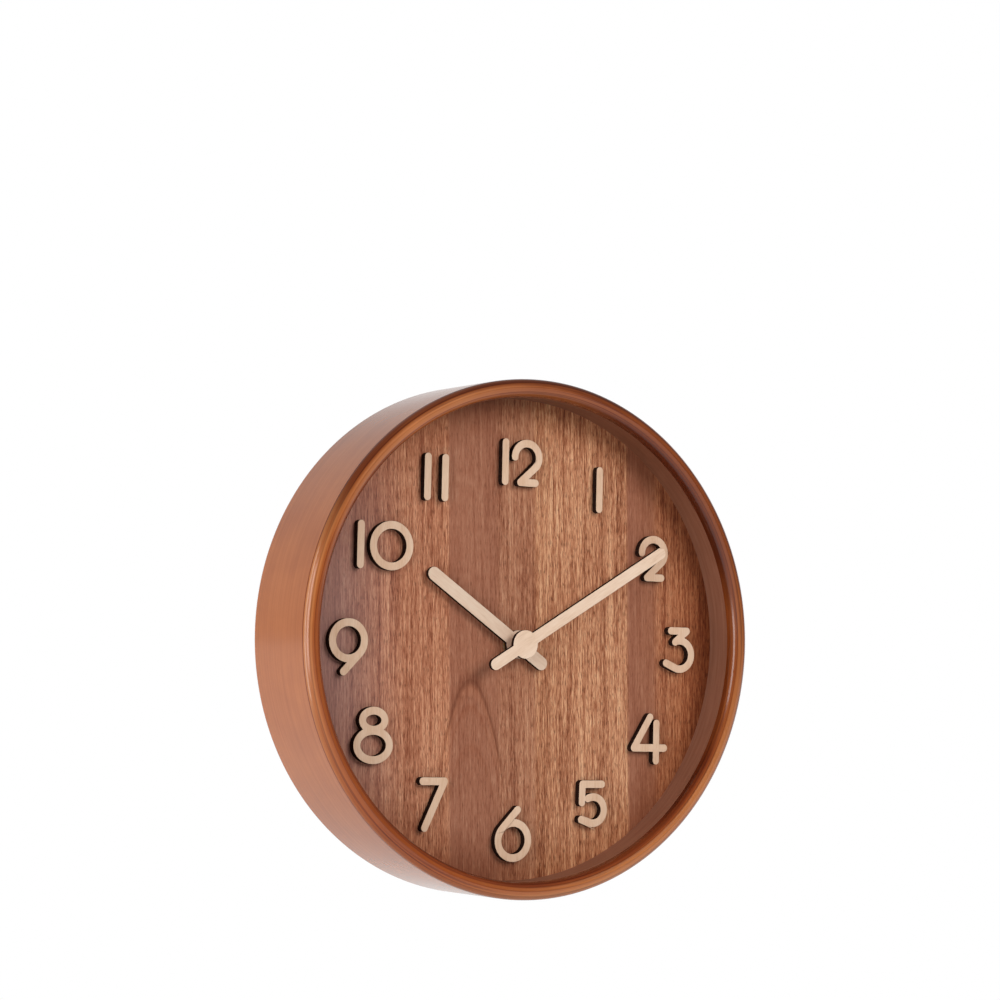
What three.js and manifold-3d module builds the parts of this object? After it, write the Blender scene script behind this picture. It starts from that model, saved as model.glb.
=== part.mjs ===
// Wooden wall clock with a quartz movement, in millimetres, +Z up.
// The dial faces -Y and the back lies on the wall at y = 0.
// The origin is the point of the wall where the clock hangs on its nail.
import * as THREE from 'three';
import { mergeVertices } from 'three/addons/utils/BufferGeometryUtils.js';
import Module from 'manifold-3d';

const wasm = await Module();
wasm.setup();

// Case ring and dial
const CASE_RADIUS = 110;
const CASE_DEPTH = 47;
const CASE_WALL = 7.6;
const BACK_CHAMFER = 0.8;
const DIAL_RECESS = 19;
const DIAL_SHOULDER = 1.5;
const DIAL_THICKNESS = 4;
const ARBOR_DROP = 2.5;

// Figures on the dial
const FIGURE_INSET = 23;
const FIGURE_HEIGHT = 20.2;
const FIGURE_THICKNESS = 3;
const STROKE_WIDTH = 3.4;

// Hands, which rest at ten past ten
const REST_HOURS = 10;
const REST_MINUTES = 9.8;
const HOUR_HAND_LAG = 1;
const HAND_THICKNESS = 1.8;
const HUB_RADIUS = 6.1;
const HOUR_LENGTH = 54;
const HOUR_TAIL = 17;
const HOUR_WIDTH = 5.9;
const MINUTE_LENGTH = 83;
const MINUTE_TAIL = 19.5;
const MINUTE_WIDTH = 5.1;
const HANDS_APART = 3.9;
const HAND_BUSH_DEPTH = 1.1;
const HAND_BUSH_WALL = 1.5;
const MINUTE_CAP = 0.7;

// Clearances
const FIT_GAP = 0.15;
const RUN_GAP = 0.3;
const LAYER_GAP = 0.6;
const WHEEL_GAP = 1.1;
const OVERCUT = 1;

// Centre fixing and hanger
const THREAD_RADIUS = 4;
const BUSH_FLANGE = 1.6;
const BUSH_FLANGE_DEPTH = 0.6;
const NUT_FLATS = 10;
const NUT_THICKNESS = 1.2;
const WASHER_RADIUS = 5.8;
const WASHER_THICKNESS = 0.3;
const GASKET_RADIUS = 7;
const GASKET_THICKNESS = 0.6;
const HANGER_SHEET = 1;
const HANGER_WIDTH = 26;
const HANGER_FOOT = 10;
const HANGER_STEP = 15;
const HANGER_HEAD = 8;
const HOOK_RISE = 44;
const KEYHOLE_DROP = 7;
const KEYHOLE_RADIUS = 4.5;
const KEYHOLE_NECK = 2.6;

// Movement housing and its cell
const MOVEMENT_DEPTH = 15.2;
const MOVEMENT_WALL = 1.2;
const MOVEMENT_CORNER = 3;
const CLIP_LENGTH = 8;
const CLIP_DEPTH = 4;
const CLIP_THICKNESS = 0.8;
const CELL_RADIUS = 7.1;
const CELL_LENGTH = 49.5;
const CELL_NUB = 1;
const CELL_NUB_RADIUS = 2.75;
const CELL_EDGE = 0.8;
const CONTACT_SHEET = 0.4;
const CONTACT_ROOM = 2.4;
const CONTACT_REACH = 5.5;
const CONTACT_STRIP = 2.5;
const CONTACT_TAIL = 1.2;

// Wheels
const ADDENDUM = 0.9;
const DEDENDUM = 1.2;
const TOOTH_ROOT = 0.6;
const TOOTH_TIP = 0.24;
const MOTION_THICKNESS = 1.2;
const TRAIN_THICKNESS = 0.8;
const PIVOT_RADIUS = 0.5;
const PIVOT_DEPTH = 0.7;
const ARBOR_RADIUS = 0.6;
const STUD_RADIUS = 0.8;
const MINUTE_ARBOR = 1.6;
const CLUTCH_SEAT = 0.9;
const CLUTCH_COLLAR = 1.25;
const CLUTCH_SPRING = 3.6;
const CLUTCH_SHEET = 0.3;
const HOUR_TUBE_WALL = 0.65;
const STEM_RADIUS = 1.3;
const KNOB_RADIUS = 5;
const KNOB_THICKNESS = 3;
const KNOB_FLUTES = 16;
const KNOB_FLUTE = 0.45;

// Tooth counts and modules, by pair
const MOTION_DISTANCE = 10;
const CANNON_TEETH = 12;
const REVERSE_TEETH = 36;
const REVERSE_PINION_TEETH = 10;
const HOUR_TEETH = 40;
const CENTRE_TEETH = 60;
const THIRD_PINION_TEETH = 8;
const CENTRE_MODULE = 0.32;
const THIRD_TEETH = 64;
const SECOND_PINION_TEETH = 8;
const THIRD_MODULE = 0.28;
const SECOND_TEETH = 50;
const INTERMEDIATE_PINION_TEETH = 10;
const SECOND_MODULE = 0.28;
const INTERMEDIATE_TEETH = 60;
const ROTOR_TEETH = 10;
const ROTOR_MODULE = 0.24;

// Directions of the lines of centres, in degrees from +X towards +Z
const REVERSE_DIRECTION = -10;
const SETTING_DIRECTION = 0;
const THIRD_DIRECTION = 50;
const SECOND_DIRECTION = 150;
const INTERMEDIATE_DIRECTION = 180;
const ROTOR_DIRECTION = 200;

// Motor and circuit
const MAGNET_RADIUS = 2.6;
const MAGNET_LENGTH = 1.8;
const STATOR_GAP = 0.5;
const STATOR_SHEET = 1;
const STATOR_RIM = 2.1;
const STATOR_ARM = 2.4;
const COIL_RISE = 21.2;
const COIL_LENGTH = 14;
const COIL_RADIUS = 2.3;
const FLANGE_RADIUS = 2.6;
const FLANGE_THICKNESS = 0.8;
const CORE_LENGTH = 22;
const CORE_HEIGHT = 1.6;
const BOBBIN_WALL = 0.4;
const POST_RADIUS = 1.1;
const BOARD_WIDTH = 14.6;
const BOARD_HEIGHT = 14.8;
const BOARD_SHEET = 1;
const BOARD_DEPTH = 3.6;
const CHIP_RADIUS = 2.6;
const CHIP_HEIGHT = 1;
const CRYSTAL_RADIUS = 1;
const CRYSTAL_LENGTH = 6;

// Steps round a circle
const RING_STEPS = 112;
const ROUND_STEPS = 24;
const SMALL_STEPS = 12;
const FLUTE_STEPS = 8;
const STROKE_STEPS = 20;
const LIP_STEPS = 5;

// Places along Y, from the front of the lip back to the wall
const caseFront = -CASE_DEPTH;
const dialFace = caseFront + DIAL_RECESS;
const dialBack = dialFace + DIAL_THICKNESS;
const hangerBack = dialBack + HANGER_SHEET;
const housingFront = hangerBack + GASKET_THICKNESS;
const housingFloor = housingFront + MOVEMENT_WALL;
const housingBack = housingFront + MOVEMENT_DEPTH;
const coverInside = housingBack - MOVEMENT_WALL;
const washerFront = dialFace - WASHER_THICKNESS;
const nutFront = washerFront - NUT_THICKNESS;
const hourHandBack = nutFront - RUN_GAP;
const hourHandFront = hourHandBack - HAND_THICKNESS;
const minuteHandBack = hourHandFront - HANDS_APART;
const minuteHandFront = minuteHandBack - HAND_THICKNESS;
const hourLayer = housingFloor + RUN_GAP;
const reverseLayer = hourLayer + MOTION_THICKNESS + LAYER_GAP;
const centreLayer = reverseLayer + MOTION_THICKNESS + LAYER_GAP;
const thirdLayer = centreLayer + TRAIN_THICKNESS + LAYER_GAP;
const secondLayer = thirdLayer + TRAIN_THICKNESS + LAYER_GAP;
const intermediateLayer = secondLayer + TRAIN_THICKNESS + LAYER_GAP;
const statorFront = intermediateLayer + TRAIN_THICKNESS + LAYER_GAP;
const boardFront = coverInside - BOARD_DEPTH;

// Sizes that follow from a fit
const caseInside = CASE_RADIUS - CASE_WALL;
const rebateRadius = caseInside + DIAL_SHOULDER;
const hourTubeBore = MINUTE_ARBOR + FIT_GAP;
const hourTubeRadius = hourTubeBore + HOUR_TUBE_WALL;
const figureCircle = caseInside - FIGURE_INSET;
const centreTip = CENTRE_MODULE * (CENTRE_TEETH / 2 + ADDENDUM);
const dividerTop = -centreTip - WHEEL_GAP;
const dividerBottom = dividerTop - MOVEMENT_WALL;
const cellY = housingFloor + FIT_GAP + CELL_RADIUS;
const cellZ = dividerBottom - FIT_GAP - CELL_RADIUS;
const housingInside = (CONTACT_ROOM + CELL_LENGTH + CELL_NUB + CONTACT_SHEET) / 2 + FIT_GAP;
const cellLeft = CONTACT_ROOM - housingInside;
const cellRight = cellLeft + CELL_LENGTH + CELL_NUB;
const bayBottom = cellZ - CELL_RADIUS - FIT_GAP;
const armBottom = COIL_RISE + FLANGE_RADIUS + RUN_GAP;
const armTop = armBottom + STATOR_ARM;
const roofInside = armTop + RUN_GAP;
const housingHalf = housingInside + MOVEMENT_WALL;
const housingTop = roofInside + MOVEMENT_WALL;
const housingBottom = bayBottom - MOVEMENT_WALL;
const boardLeft = -housingInside + RUN_GAP;
const boardBottom = dividerTop + RUN_GAP;
const tailRightX = boardLeft + BOARD_WIDTH - CONTACT_TAIL;
const tailLeftX = -housingInside + FIT_GAP;

// A closed geometry as a solid
function solid(geometry) {
  geometry.deleteAttribute('normal');
  geometry.deleteAttribute('uv');
  const merged = mergeVertices(geometry, 1e-4);
  const corners = merged.index.array;
  const triangles = [];
  for (let i = 0; i < corners.length; i += 3) {
    const [a, b, c] = corners.slice(i, i + 3);
    if (a !== b && b !== c && c !== a) triangles.push(a, b, c);
  }
  return new wasm.Manifold(new wasm.Mesh({
    numProp: 3,
    vertProperties: new Float32Array(merged.attributes.position.array),
    triVerts: new Uint32Array(triangles),
  }));
}

function join(...solids) {
  return solids.reduce((sum, next) => sum.add(next));
}

function cut(body, ...tools) {
  return tools.reduce((left, tool) => left.subtract(tool), body);
}

// A shape drawn in X and Z, standing between two depths
function plate(shape, front, back, steps = STROKE_STEPS) {
  const geometry = new THREE.ExtrudeGeometry(shape, {
    depth: back - front,
    bevelEnabled: false,
    curveSegments: steps,
  });
  geometry.rotateX(Math.PI / 2);
  geometry.translate(0, back, 0);
  return solid(geometry);
}

function block(x0, x1, y0, y1, z0, z1) {
  const geometry = new THREE.BoxGeometry(x1 - x0, y1 - y0, z1 - z0);
  geometry.translate((x0 + x1) / 2, (y0 + y1) / 2, (z0 + z1) / 2);
  return solid(geometry);
}

// A profile of [radius, y] points turned about the Y axis, given from front to back on its outside
function turned(profile, steps = ROUND_STEPS) {
  const points = profile.map(([radius, y]) => new THREE.Vector2(radius, y));
  return solid(new THREE.LatheGeometry(points, steps));
}

function rod(radius, front, back, steps = ROUND_STEPS) {
  return turned([[0, front], [radius, front], [radius, back], [0, back]], steps);
}

function washer(bore, radius, front, back, steps = ROUND_STEPS) {
  return turned([[bore, front], [radius, front], [radius, back], [bore, back], [bore, front]], steps);
}

function at(body, [x, z]) {
  return body.translate([x, 0, z]);
}

function polar(distance, degrees, [x, z] = [0, 0]) {
  const angle = THREE.MathUtils.degToRad(degrees);
  return [x + distance * Math.cos(angle), z + distance * Math.sin(angle)];
}

function roundedShape(half, bottom, top, corner) {
  const shape = new THREE.Shape();
  shape.absarc(half - corner, top - corner, corner, 0, Math.PI / 2);
  shape.absarc(corner - half, top - corner, corner, Math.PI / 2, Math.PI);
  shape.absarc(corner - half, bottom + corner, corner, Math.PI, 1.5 * Math.PI);
  shape.absarc(half - corner, bottom + corner, corner, 1.5 * Math.PI, 2 * Math.PI);
  return shape;
}

// The outline of a line of even width with round ends, along a path
function strokeShape(path, width) {
  const points = path.getPoints(STROKE_STEPS).filter((p, i, all) => i === 0 || !p.equals(all[i - 1]));
  const side = (i) => {
    const along = points[Math.min(i + 1, points.length - 1)].clone().sub(points[Math.max(i - 1, 0)]);
    return new THREE.Vector2(-along.y, along.x).setLength(width / 2);
  };
  const left = points.map((p, i) => p.clone().add(side(i)));
  const right = points.map((p, i) => p.clone().sub(side(i))).reverse();
  const cap = (centre, start) => {
    const half = STROKE_STEPS / 2;
    const turns = Array.from({ length: half - 1 }, (_, i) => -Math.PI * (i + 1) / half);
    return turns.map((turn) => start.clone().rotateAround(centre, turn));
  };
  const end = cap(points.at(-1), left.at(-1));
  const start = cap(points[0], right.at(-1));
  return new THREE.Shape([...left, ...end, ...right, ...start].reverse());
}

function line(...points) {
  const path = new THREE.Path();
  path.moveTo(...points[0]);
  points.slice(1).forEach((point) => path.lineTo(...point));
  return path;
}

function ringShape(x, z, halfWidth, halfHeight, width) {
  const shape = new THREE.Shape();
  shape.absellipse(x, z, halfWidth + width / 2, halfHeight + width / 2, 0, 2 * Math.PI);
  const hole = new THREE.Path();
  hole.absellipse(x, z, halfWidth - width / 2, halfHeight - width / 2, 0, 2 * Math.PI);
  shape.holes.push(hole);
  return shape;
}

// Named meshes with their finishes
const finishes = {
  stainedPlywood: { color: 0xa8643f, roughness: 0.45, metalness: 0 },
  walnutVeneer: { color: 0x96604a, roughness: 0.55, metalness: 0 },
  paleBeech: { color: 0xdfc1a2, roughness: 0.6, metalness: 0 },
  brass: { color: 0xb8934a, roughness: 0.35, metalness: 1 },
  zincSteel: { color: 0xb9bcc0, roughness: 0.35, metalness: 1 },
  blackPlastic: { color: 0x1b1b1d, roughness: 0.5, metalness: 0 },
  blackRubber: { color: 0x151515, roughness: 0.8, metalness: 0 },
  whiteAcetal: { color: 0xe9e6dc, roughness: 0.45, metalness: 0 },
  magnet: { color: 0x4a4a4d, roughness: 0.4, metalness: 0.8 },
  copperWire: { color: 0xb46a3a, roughness: 0.4, metalness: 1 },
  circuitBoard: { color: 0x2f6a3f, roughness: 0.6, metalness: 0 },
  cellWrap: { color: 0x8f9499, roughness: 0.4, metalness: 0.3 },
};
const clock = new THREE.Group();
clock.position.z = -HOOK_RISE;

function place(name, finish, body) {
  const { vertProperties, triVerts } = body.getMesh();
  const geometry = new THREE.BufferGeometry();
  geometry.setAttribute('position', new THREE.BufferAttribute(vertProperties, 3));
  geometry.setIndex(new THREE.BufferAttribute(triVerts, 1));
  const mesh = new THREE.Mesh(geometry, new THREE.MeshStandardMaterial(finishes[finish]));
  mesh.name = name;
  clock.add(mesh);
}

// Case ring: bent plywood with a full round front edge and a shoulder for the dial
const lip = CASE_WALL / 2;
const lipArc = new THREE.Path();
lipArc.absarc(caseInside + lip, caseFront + lip, lip, Math.PI, 2 * Math.PI);
const lipProfile = lipArc.getPoints(LIP_STEPS).map((p) => [p.x, p.y]);
const ringMiddle = [0, ARBOR_DROP];
place('case_ring', 'stainedPlywood', at(turned([
  ...lipProfile,
  [CASE_RADIUS, -BACK_CHAMFER],
  [CASE_RADIUS - BACK_CHAMFER, 0],
  [rebateRadius + BACK_CHAMFER, 0],
  [rebateRadius, -BACK_CHAMFER],
  [rebateRadius, dialFace],
  [caseInside, dialFace],
  lipProfile[0],
], RING_STEPS), ringMiddle));

// Dial board: glued against the shoulder, bored for the threaded bush a little below its middle
const bushHole = THREAD_RADIUS + FIT_GAP;
place('dial_board', 'walnutVeneer', cut(
  at(rod(rebateRadius - FIT_GAP, dialFace, dialBack, RING_STEPS), ringMiddle),
  rod(bushHole, dialFace - OVERCUT, dialBack + OVERCUT),
));

// Figures: strokes about the figure's own middle, drawn in twentieths of the common height
const unit = FIGURE_HEIGHT / 20;
const halfStroke = STROKE_WIDTH / 2 / unit;
const high = 10 - halfStroke;

function figureStroke(path) {
  path.curves.forEach((curve) => {
    if (curve.isLineCurve) {
      curve.v1.multiplyScalar(unit);
      curve.v2.multiplyScalar(unit);
    } else {
      curve.aX *= unit;
      curve.aY *= unit;
      curve.xRadius *= unit;
      curve.yRadius *= unit;
    }
  });
  return strokeShape(path, STROKE_WIDTH);
}

function figureLine(...points) {
  return figureStroke(line(...points));
}

function figureRing(z, halfWidth, halfHeight) {
  return ringShape(0, z * unit, halfWidth * unit, halfHeight * unit, STROKE_WIDTH);
}

function figureOne() {
  return [figureLine([0, -high], [0, high])];
}

function figureTwo() {
  const bowl = 6;
  const foot = [-3.1, -high];
  const top = new THREE.Path();
  top.absarc(0, high - bowl, bowl, Math.PI, -0.2 * Math.PI, true);
  top.lineTo(...foot);
  return [figureStroke(top), figureLine(foot, [4.4, -high])];
}

function figureThree() {
  const bowl = 6.2;
  const roof = 4.2;
  const waist = [-1.9, bowl - high + 5.6];
  const belly = new THREE.Path();
  belly.moveTo(...waist);
  belly.absarc(0.5, bowl - high, bowl, 0.56 * Math.PI, -0.64 * Math.PI, true);
  belly.lineTo(-6.6, 2.5 - high);
  return [
    figureLine([-roof, high], [roof, high]),
    figureLine([roof, high], waist),
    figureStroke(belly),
  ];
}

function figureFour() {
  const tall = 9.4;
  const bridge = [7.9, -3.9];
  return [
    figureLine([0.3, tall], [-bridge[0], bridge[1]]),
    figureLine([-bridge[0], bridge[1]], bridge),
    figureLine([3.7, tall - 2.6], [3.7, -tall]),
  ];
}

function figureFive() {
  const bowl = 5.6;
  const corner = [-5.2, high];
  const neck = [-5.4, 0.5];
  const belly = new THREE.Path();
  belly.moveTo(...neck);
  belly.absarc(0.3, bowl - high, bowl, 0.66 * Math.PI, -0.66 * Math.PI, true);
  belly.lineTo(-5.6, 1.6 - high);
  return [
    figureLine(corner, [4.6, high]),
    figureLine(corner, neck),
    figureStroke(belly),
  ];
}

// A ring with a straight tail that leaves it on a tangent; turned over it is the nine
function figureSix(turn) {
  const ring = 7.4;
  const ringZ = -2.7;
  const tip = [2, ringZ + 12.8];
  const reach = Math.hypot(tip[0], tip[1] - ringZ);
  const tangent = Math.atan2(tip[1] - ringZ, tip[0]) + Math.acos(ring / reach);
  const root = [ring * Math.cos(tangent), ringZ + ring * Math.sin(tangent)];
  const flip = ([x, z]) => [x * turn, z * turn];
  return [figureRing(ringZ * turn, ring, ring), figureLine(flip(root), flip(tip))];
}

function figureSeven() {
  const tall = 9.6;
  const roof = 5.2;
  return [figureLine([-roof, tall], [roof, tall]), figureLine([roof, tall], [-3.9, -tall])];
}

function figureEight() {
  return [figureRing(6.2, 5.2, 3.9), figureRing(-4.1, 7.6, 6)];
}

function figureZero() {
  return [figureRing(0, 8.6, 8.6)];
}

// Name, hour, place beside the hour's point on the figure circle, strokes
const figures = [
  ['numeral_1', 1, [0.4, -0.4], figureOne()],
  ['numeral_2', 2, [0.4, 0], figureTwo()],
  ['numeral_3', 3, [4.2, -0.1], figureThree()],
  ['numeral_4', 4, [0, 0.3], figureFour()],
  ['numeral_5', 5, [0, 1.1], figureFive()],
  ['numeral_6', 6, [-0.3, -1], figureSix(1)],
  ['numeral_7', 7, [-0.2, 0.8], figureSeven()],
  ['numeral_8', 8, [-0.5, 0.2], figureEight()],
  ['numeral_9', 9, [-2.6, -3.3], figureSix(-1)],
  ['numeral_10_one', 10, [-8.6, -0.4], figureOne()],
  ['numeral_10_zero', 10, [5.9, -0.4], figureZero()],
  ['numeral_11_left', 11, [-6.5, 0.4], figureOne()],
  ['numeral_11_right', 11, [1.9, 0.4], figureOne()],
  ['numeral_12_one', 12, [-8.1, -1.6], figureOne()],
  ['numeral_12_two', 12, [2.6, -1.6], figureTwo()],
];
for (const [name, hour, [dx, dz], strokes] of figures) {
  const [x, z] = polar(figureCircle, 90 - 30 * hour);
  const body = join(...strokes.map((shape) => plate(shape, dialFace - FIGURE_THICKNESS, dialFace)));
  place(name, 'paleBeech', at(body, [x + dx * unit, z + dz * unit]));
}

// Hands: flat bars with round ends and a round hub, pointing up until turned to the time
const minuteTurn = 6 * REST_MINUTES;
const hourTurn = 30 * (REST_HOURS + REST_MINUTES / 60) - HOUR_HAND_LAG;

function handBlank(length, tail, width, front) {
  const hub = new THREE.Shape();
  hub.absarc(0, 0, HUB_RADIUS, 0, 2 * Math.PI);
  const end = width / 2;
  return join(
    plate(strokeShape(line([0, end - tail], [0, length - end]), width), front, front + HAND_THICKNESS),
    plate(hub, front, front + HAND_THICKNESS),
  );
}

const hourBushBore = hourTubeRadius + FIT_GAP;
const hourBushRadius = hourBushBore + HAND_BUSH_WALL;
const minuteBushBore = MINUTE_ARBOR + FIT_GAP;
const minuteBushRadius = minuteBushBore + HAND_BUSH_WALL;
const arborFront = minuteHandFront + MINUTE_CAP + FIT_GAP;
place('hour_hand', 'paleBeech', cut(
  handBlank(HOUR_LENGTH, HOUR_TAIL, HOUR_WIDTH, hourHandFront).rotate([0, hourTurn, 0]),
  rod(hourBushBore, hourHandFront - OVERCUT, hourHandBack + OVERCUT),
  rod(hourBushRadius + FIT_GAP, hourHandBack - HAND_BUSH_DEPTH, hourHandBack + OVERCUT),
));
place('hour_hand_bush', 'brass',
  washer(hourBushBore, hourBushRadius, hourHandBack - HAND_BUSH_DEPTH, hourHandBack));
place('minute_hand', 'paleBeech', cut(
  handBlank(MINUTE_LENGTH, MINUTE_TAIL, MINUTE_WIDTH, minuteHandFront).rotate([0, minuteTurn, 0]),
  rod(minuteBushBore, minuteHandFront + MINUTE_CAP, minuteHandBack + OVERCUT),
  rod(minuteBushRadius + FIT_GAP, minuteHandBack - HAND_BUSH_DEPTH, minuteHandBack + OVERCUT),
));
place('minute_hand_bush', 'brass',
  washer(minuteBushBore, minuteBushRadius, minuteHandBack - HAND_BUSH_DEPTH, minuteHandBack));

// Centre fixing: nut and washer in front of the dial, gasket behind the hanger
const nutShape = new THREE.Shape();
nutShape.setFromPoints(Array.from({ length: 6 }, (_, i) => {
  return new THREE.Vector2(...polar(NUT_FLATS / Math.sqrt(3), 60 * i));
}));
place('centre_nut', 'brass', cut(
  plate(nutShape, nutFront, washerFront),
  rod(bushHole, nutFront - OVERCUT, washerFront + OVERCUT),
));
place('nut_washer', 'zincSteel', washer(bushHole, WASHER_RADIUS, washerFront, dialFace));
place('gasket', 'blackRubber', washer(bushHole, GASKET_RADIUS, hangerBack, housingFront));

// Hanger: a strip clamped behind the dial, stepped back over the movement, with a keyhole slot
const hangerHalf = HANGER_WIDTH / 2;
const shelfZ = housingTop + RUN_GAP;
const headBack = hangerBack + HANGER_STEP;
const keyholeZ = HOOK_RISE - KEYHOLE_DROP;
const neckShape = strokeShape(line([0, keyholeZ], [0, HOOK_RISE]), 2 * KEYHOLE_NECK);
place('hanger', 'zincSteel', cut(
  join(
    block(-hangerHalf, hangerHalf, dialBack, hangerBack, -HANGER_FOOT, shelfZ + HANGER_SHEET),
    block(-hangerHalf, hangerHalf, dialBack, headBack, shelfZ, shelfZ + HANGER_SHEET),
    block(-hangerHalf, hangerHalf, headBack - HANGER_SHEET, headBack, shelfZ, HOOK_RISE + HANGER_HEAD),
  ),
  rod(bushHole, dialBack - OVERCUT, hangerBack + OVERCUT),
  plate(neckShape, headBack - HANGER_SHEET - OVERCUT, headBack + OVERCUT),
  at(rod(KEYHOLE_RADIUS, headBack - HANGER_SHEET - OVERCUT, headBack + OVERCUT), [0, keyholeZ]),
));

// Wheel centres
const pitchDistance = (first, second, module) => module * (first + second) / 2;
const cannonModule = 2 * MOTION_DISTANCE / (CANNON_TEETH + REVERSE_TEETH);
const hourModule = 2 * MOTION_DISTANCE / (REVERSE_PINION_TEETH + HOUR_TEETH);
const axis = [0, 0];
const reverseAt = polar(MOTION_DISTANCE, REVERSE_DIRECTION);
const settingAt = polar(MOTION_DISTANCE, SETTING_DIRECTION, reverseAt);
const thirdAt = polar(pitchDistance(CENTRE_TEETH, THIRD_PINION_TEETH, CENTRE_MODULE), THIRD_DIRECTION);
const secondAt = polar(
  pitchDistance(THIRD_TEETH, SECOND_PINION_TEETH, THIRD_MODULE), SECOND_DIRECTION, thirdAt);
const intermediateAt = polar(
  pitchDistance(SECOND_TEETH, INTERMEDIATE_PINION_TEETH, SECOND_MODULE), INTERMEDIATE_DIRECTION, secondAt);
const rotorAt = polar(
  pitchDistance(INTERMEDIATE_TEETH, ROTOR_TEETH, ROTOR_MODULE), ROTOR_DIRECTION, intermediateAt);

// Angle of a tooth on the second wheel that leaves its gap facing a tooth of the first
function meshAngle(direction, firstTeeth, firstAngle, secondTeeth) {
  const share = (direction - firstAngle) * firstTeeth / 360;
  return direction + 180 - (0.5 - share) * 360 / secondTeeth;
}

const cannonAngle = 0;
const reverseAngle = meshAngle(REVERSE_DIRECTION, CANNON_TEETH, cannonAngle, REVERSE_TEETH);
const settingAngle = meshAngle(SETTING_DIRECTION, REVERSE_TEETH, reverseAngle, CANNON_TEETH);
const hourAngle = meshAngle(REVERSE_DIRECTION + 180, REVERSE_PINION_TEETH, 0, HOUR_TEETH);
const thirdPinionAngle = meshAngle(THIRD_DIRECTION, CENTRE_TEETH, 0, THIRD_PINION_TEETH);
const secondPinionAngle = meshAngle(SECOND_DIRECTION, THIRD_TEETH, 0, SECOND_PINION_TEETH);
const intermediatePinionAngle = meshAngle(INTERMEDIATE_DIRECTION, SECOND_TEETH, 0, INTERMEDIATE_PINION_TEETH);
const rotorAngle = meshAngle(ROTOR_DIRECTION, INTERMEDIATE_TEETH, 0, ROTOR_TEETH);

// A toothed wheel about the Y axis with its first tooth at an angle
function gear(teeth, module, angle, front, back) {
  const pitch = module * teeth / 2;
  const tip = pitch + ADDENDUM * module;
  const root = pitch - DEDENDUM * module;
  const step = 360 / teeth;
  const outline = [];
  for (let i = 0; i < teeth; i += 1) {
    const middle = angle + i * step;
    outline.push(polar(root, middle - TOOTH_ROOT * step / 2));
    outline.push(polar(tip, middle - TOOTH_TIP * step / 2));
    outline.push(polar(tip, middle + TOOTH_TIP * step / 2));
    outline.push(polar(root, middle + TOOTH_ROOT * step / 2));
  }
  return plate(new THREE.Shape(outline.map((point) => new THREE.Vector2(...point))), front, back);
}

// An arbor with a pivot at each end, in the housing floor and in the cover
const pivotFront = housingFloor - PIVOT_DEPTH + FIT_GAP;
const pivotBack = coverInside + PIVOT_DEPTH - FIT_GAP;
function arbor(radius) {
  return turned([
    [0, pivotFront],
    [PIVOT_RADIUS, pivotFront],
    [PIVOT_RADIUS, housingFloor + RUN_GAP],
    [radius, housingFloor + RUN_GAP],
    [radius, coverInside - RUN_GAP],
    [PIVOT_RADIUS, coverInside - RUN_GAP],
    [PIVOT_RADIUS, pivotBack],
    [0, pivotBack],
  ], SMALL_STEPS);
}

// Housing: a moulded tray with a bay for the cell, posts and pivot holes
const bushFlangeRadius = THREAD_RADIUS + BUSH_FLANGE;
const bushSeat = housingFloor - BUSH_FLANGE_DEPTH;
const postBoard = [
  [boardLeft + 2 * POST_RADIUS, boardBottom + BOARD_HEIGHT - 2 * POST_RADIUS],
  [boardLeft + BOARD_WIDTH - 2 * POST_RADIUS, boardBottom + BOARD_HEIGHT - 2 * POST_RADIUS],
];
const armZ = (armBottom + armTop) / 2;
const insideCorner = MOVEMENT_CORNER - MOVEMENT_WALL;
const coreRight = housingInside - insideCorner;
const coreLeft = coreRight - CORE_LENGTH;
const coilX = (coreLeft + coreRight) / 2;
const padWidth = (CORE_LENGTH - COIL_LENGTH) / 2 - RUN_GAP;
const postStator = [[rotorAt[0], armZ], [coreRight - padWidth / 2, armZ]];
const pivotHole = PIVOT_RADIUS + FIT_GAP;
const trainAt = [thirdAt, secondAt, intermediateAt, rotorAt];
const stemHole = STEM_RADIUS + FIT_GAP;
const outsideShape = roundedShape(housingHalf, housingBottom, housingTop, MOVEMENT_CORNER);
const insideShape = roundedShape(housingInside, bayBottom, roofInside, insideCorner);
place('movement_case', 'blackPlastic', cut(
  join(
    cut(
      plate(outsideShape, housingFront, housingBack),
      plate(insideShape, housingFloor, housingBack + OVERCUT),
    ),
    block(-housingInside - FIT_GAP, housingInside + FIT_GAP, housingFloor - FIT_GAP, housingBack,
      dividerBottom, dividerTop),
    ...postBoard.map((spot) => at(rod(POST_RADIUS, housingFloor - FIT_GAP, boardFront, SMALL_STEPS), spot)),
    ...postStator.map((spot) => at(rod(POST_RADIUS, housingFloor - FIT_GAP, statorFront, SMALL_STEPS), spot)),
    at(rod(STUD_RADIUS, housingFloor - FIT_GAP, centreLayer - RUN_GAP, SMALL_STEPS), reverseAt),
  ),
  block(-housingHalf - OVERCUT, housingHalf + OVERCUT, coverInside, housingBack + OVERCUT,
    dividerBottom, housingTop + OVERCUT),
  rod(bushHole, housingFront - OVERCUT, housingFloor + OVERCUT),
  rod(bushFlangeRadius + FIT_GAP, bushSeat, housingFloor + OVERCUT),
  ...[...trainAt, settingAt].map((spot) => {
    return at(rod(pivotHole, housingFloor - PIVOT_DEPTH, housingFloor + OVERCUT, SMALL_STEPS), spot);
  }),
  block(tailRightX - FIT_GAP, tailRightX + CONTACT_SHEET + FIT_GAP, housingFloor, boardFront + FIT_GAP,
    dividerBottom - OVERCUT, dividerTop + OVERCUT),
  block(-housingInside, tailLeftX + CONTACT_SHEET + FIT_GAP,
    cellY - CONTACT_REACH - FIT_GAP, boardFront + FIT_GAP,
    dividerBottom - OVERCUT, dividerTop + OVERCUT),
));

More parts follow.
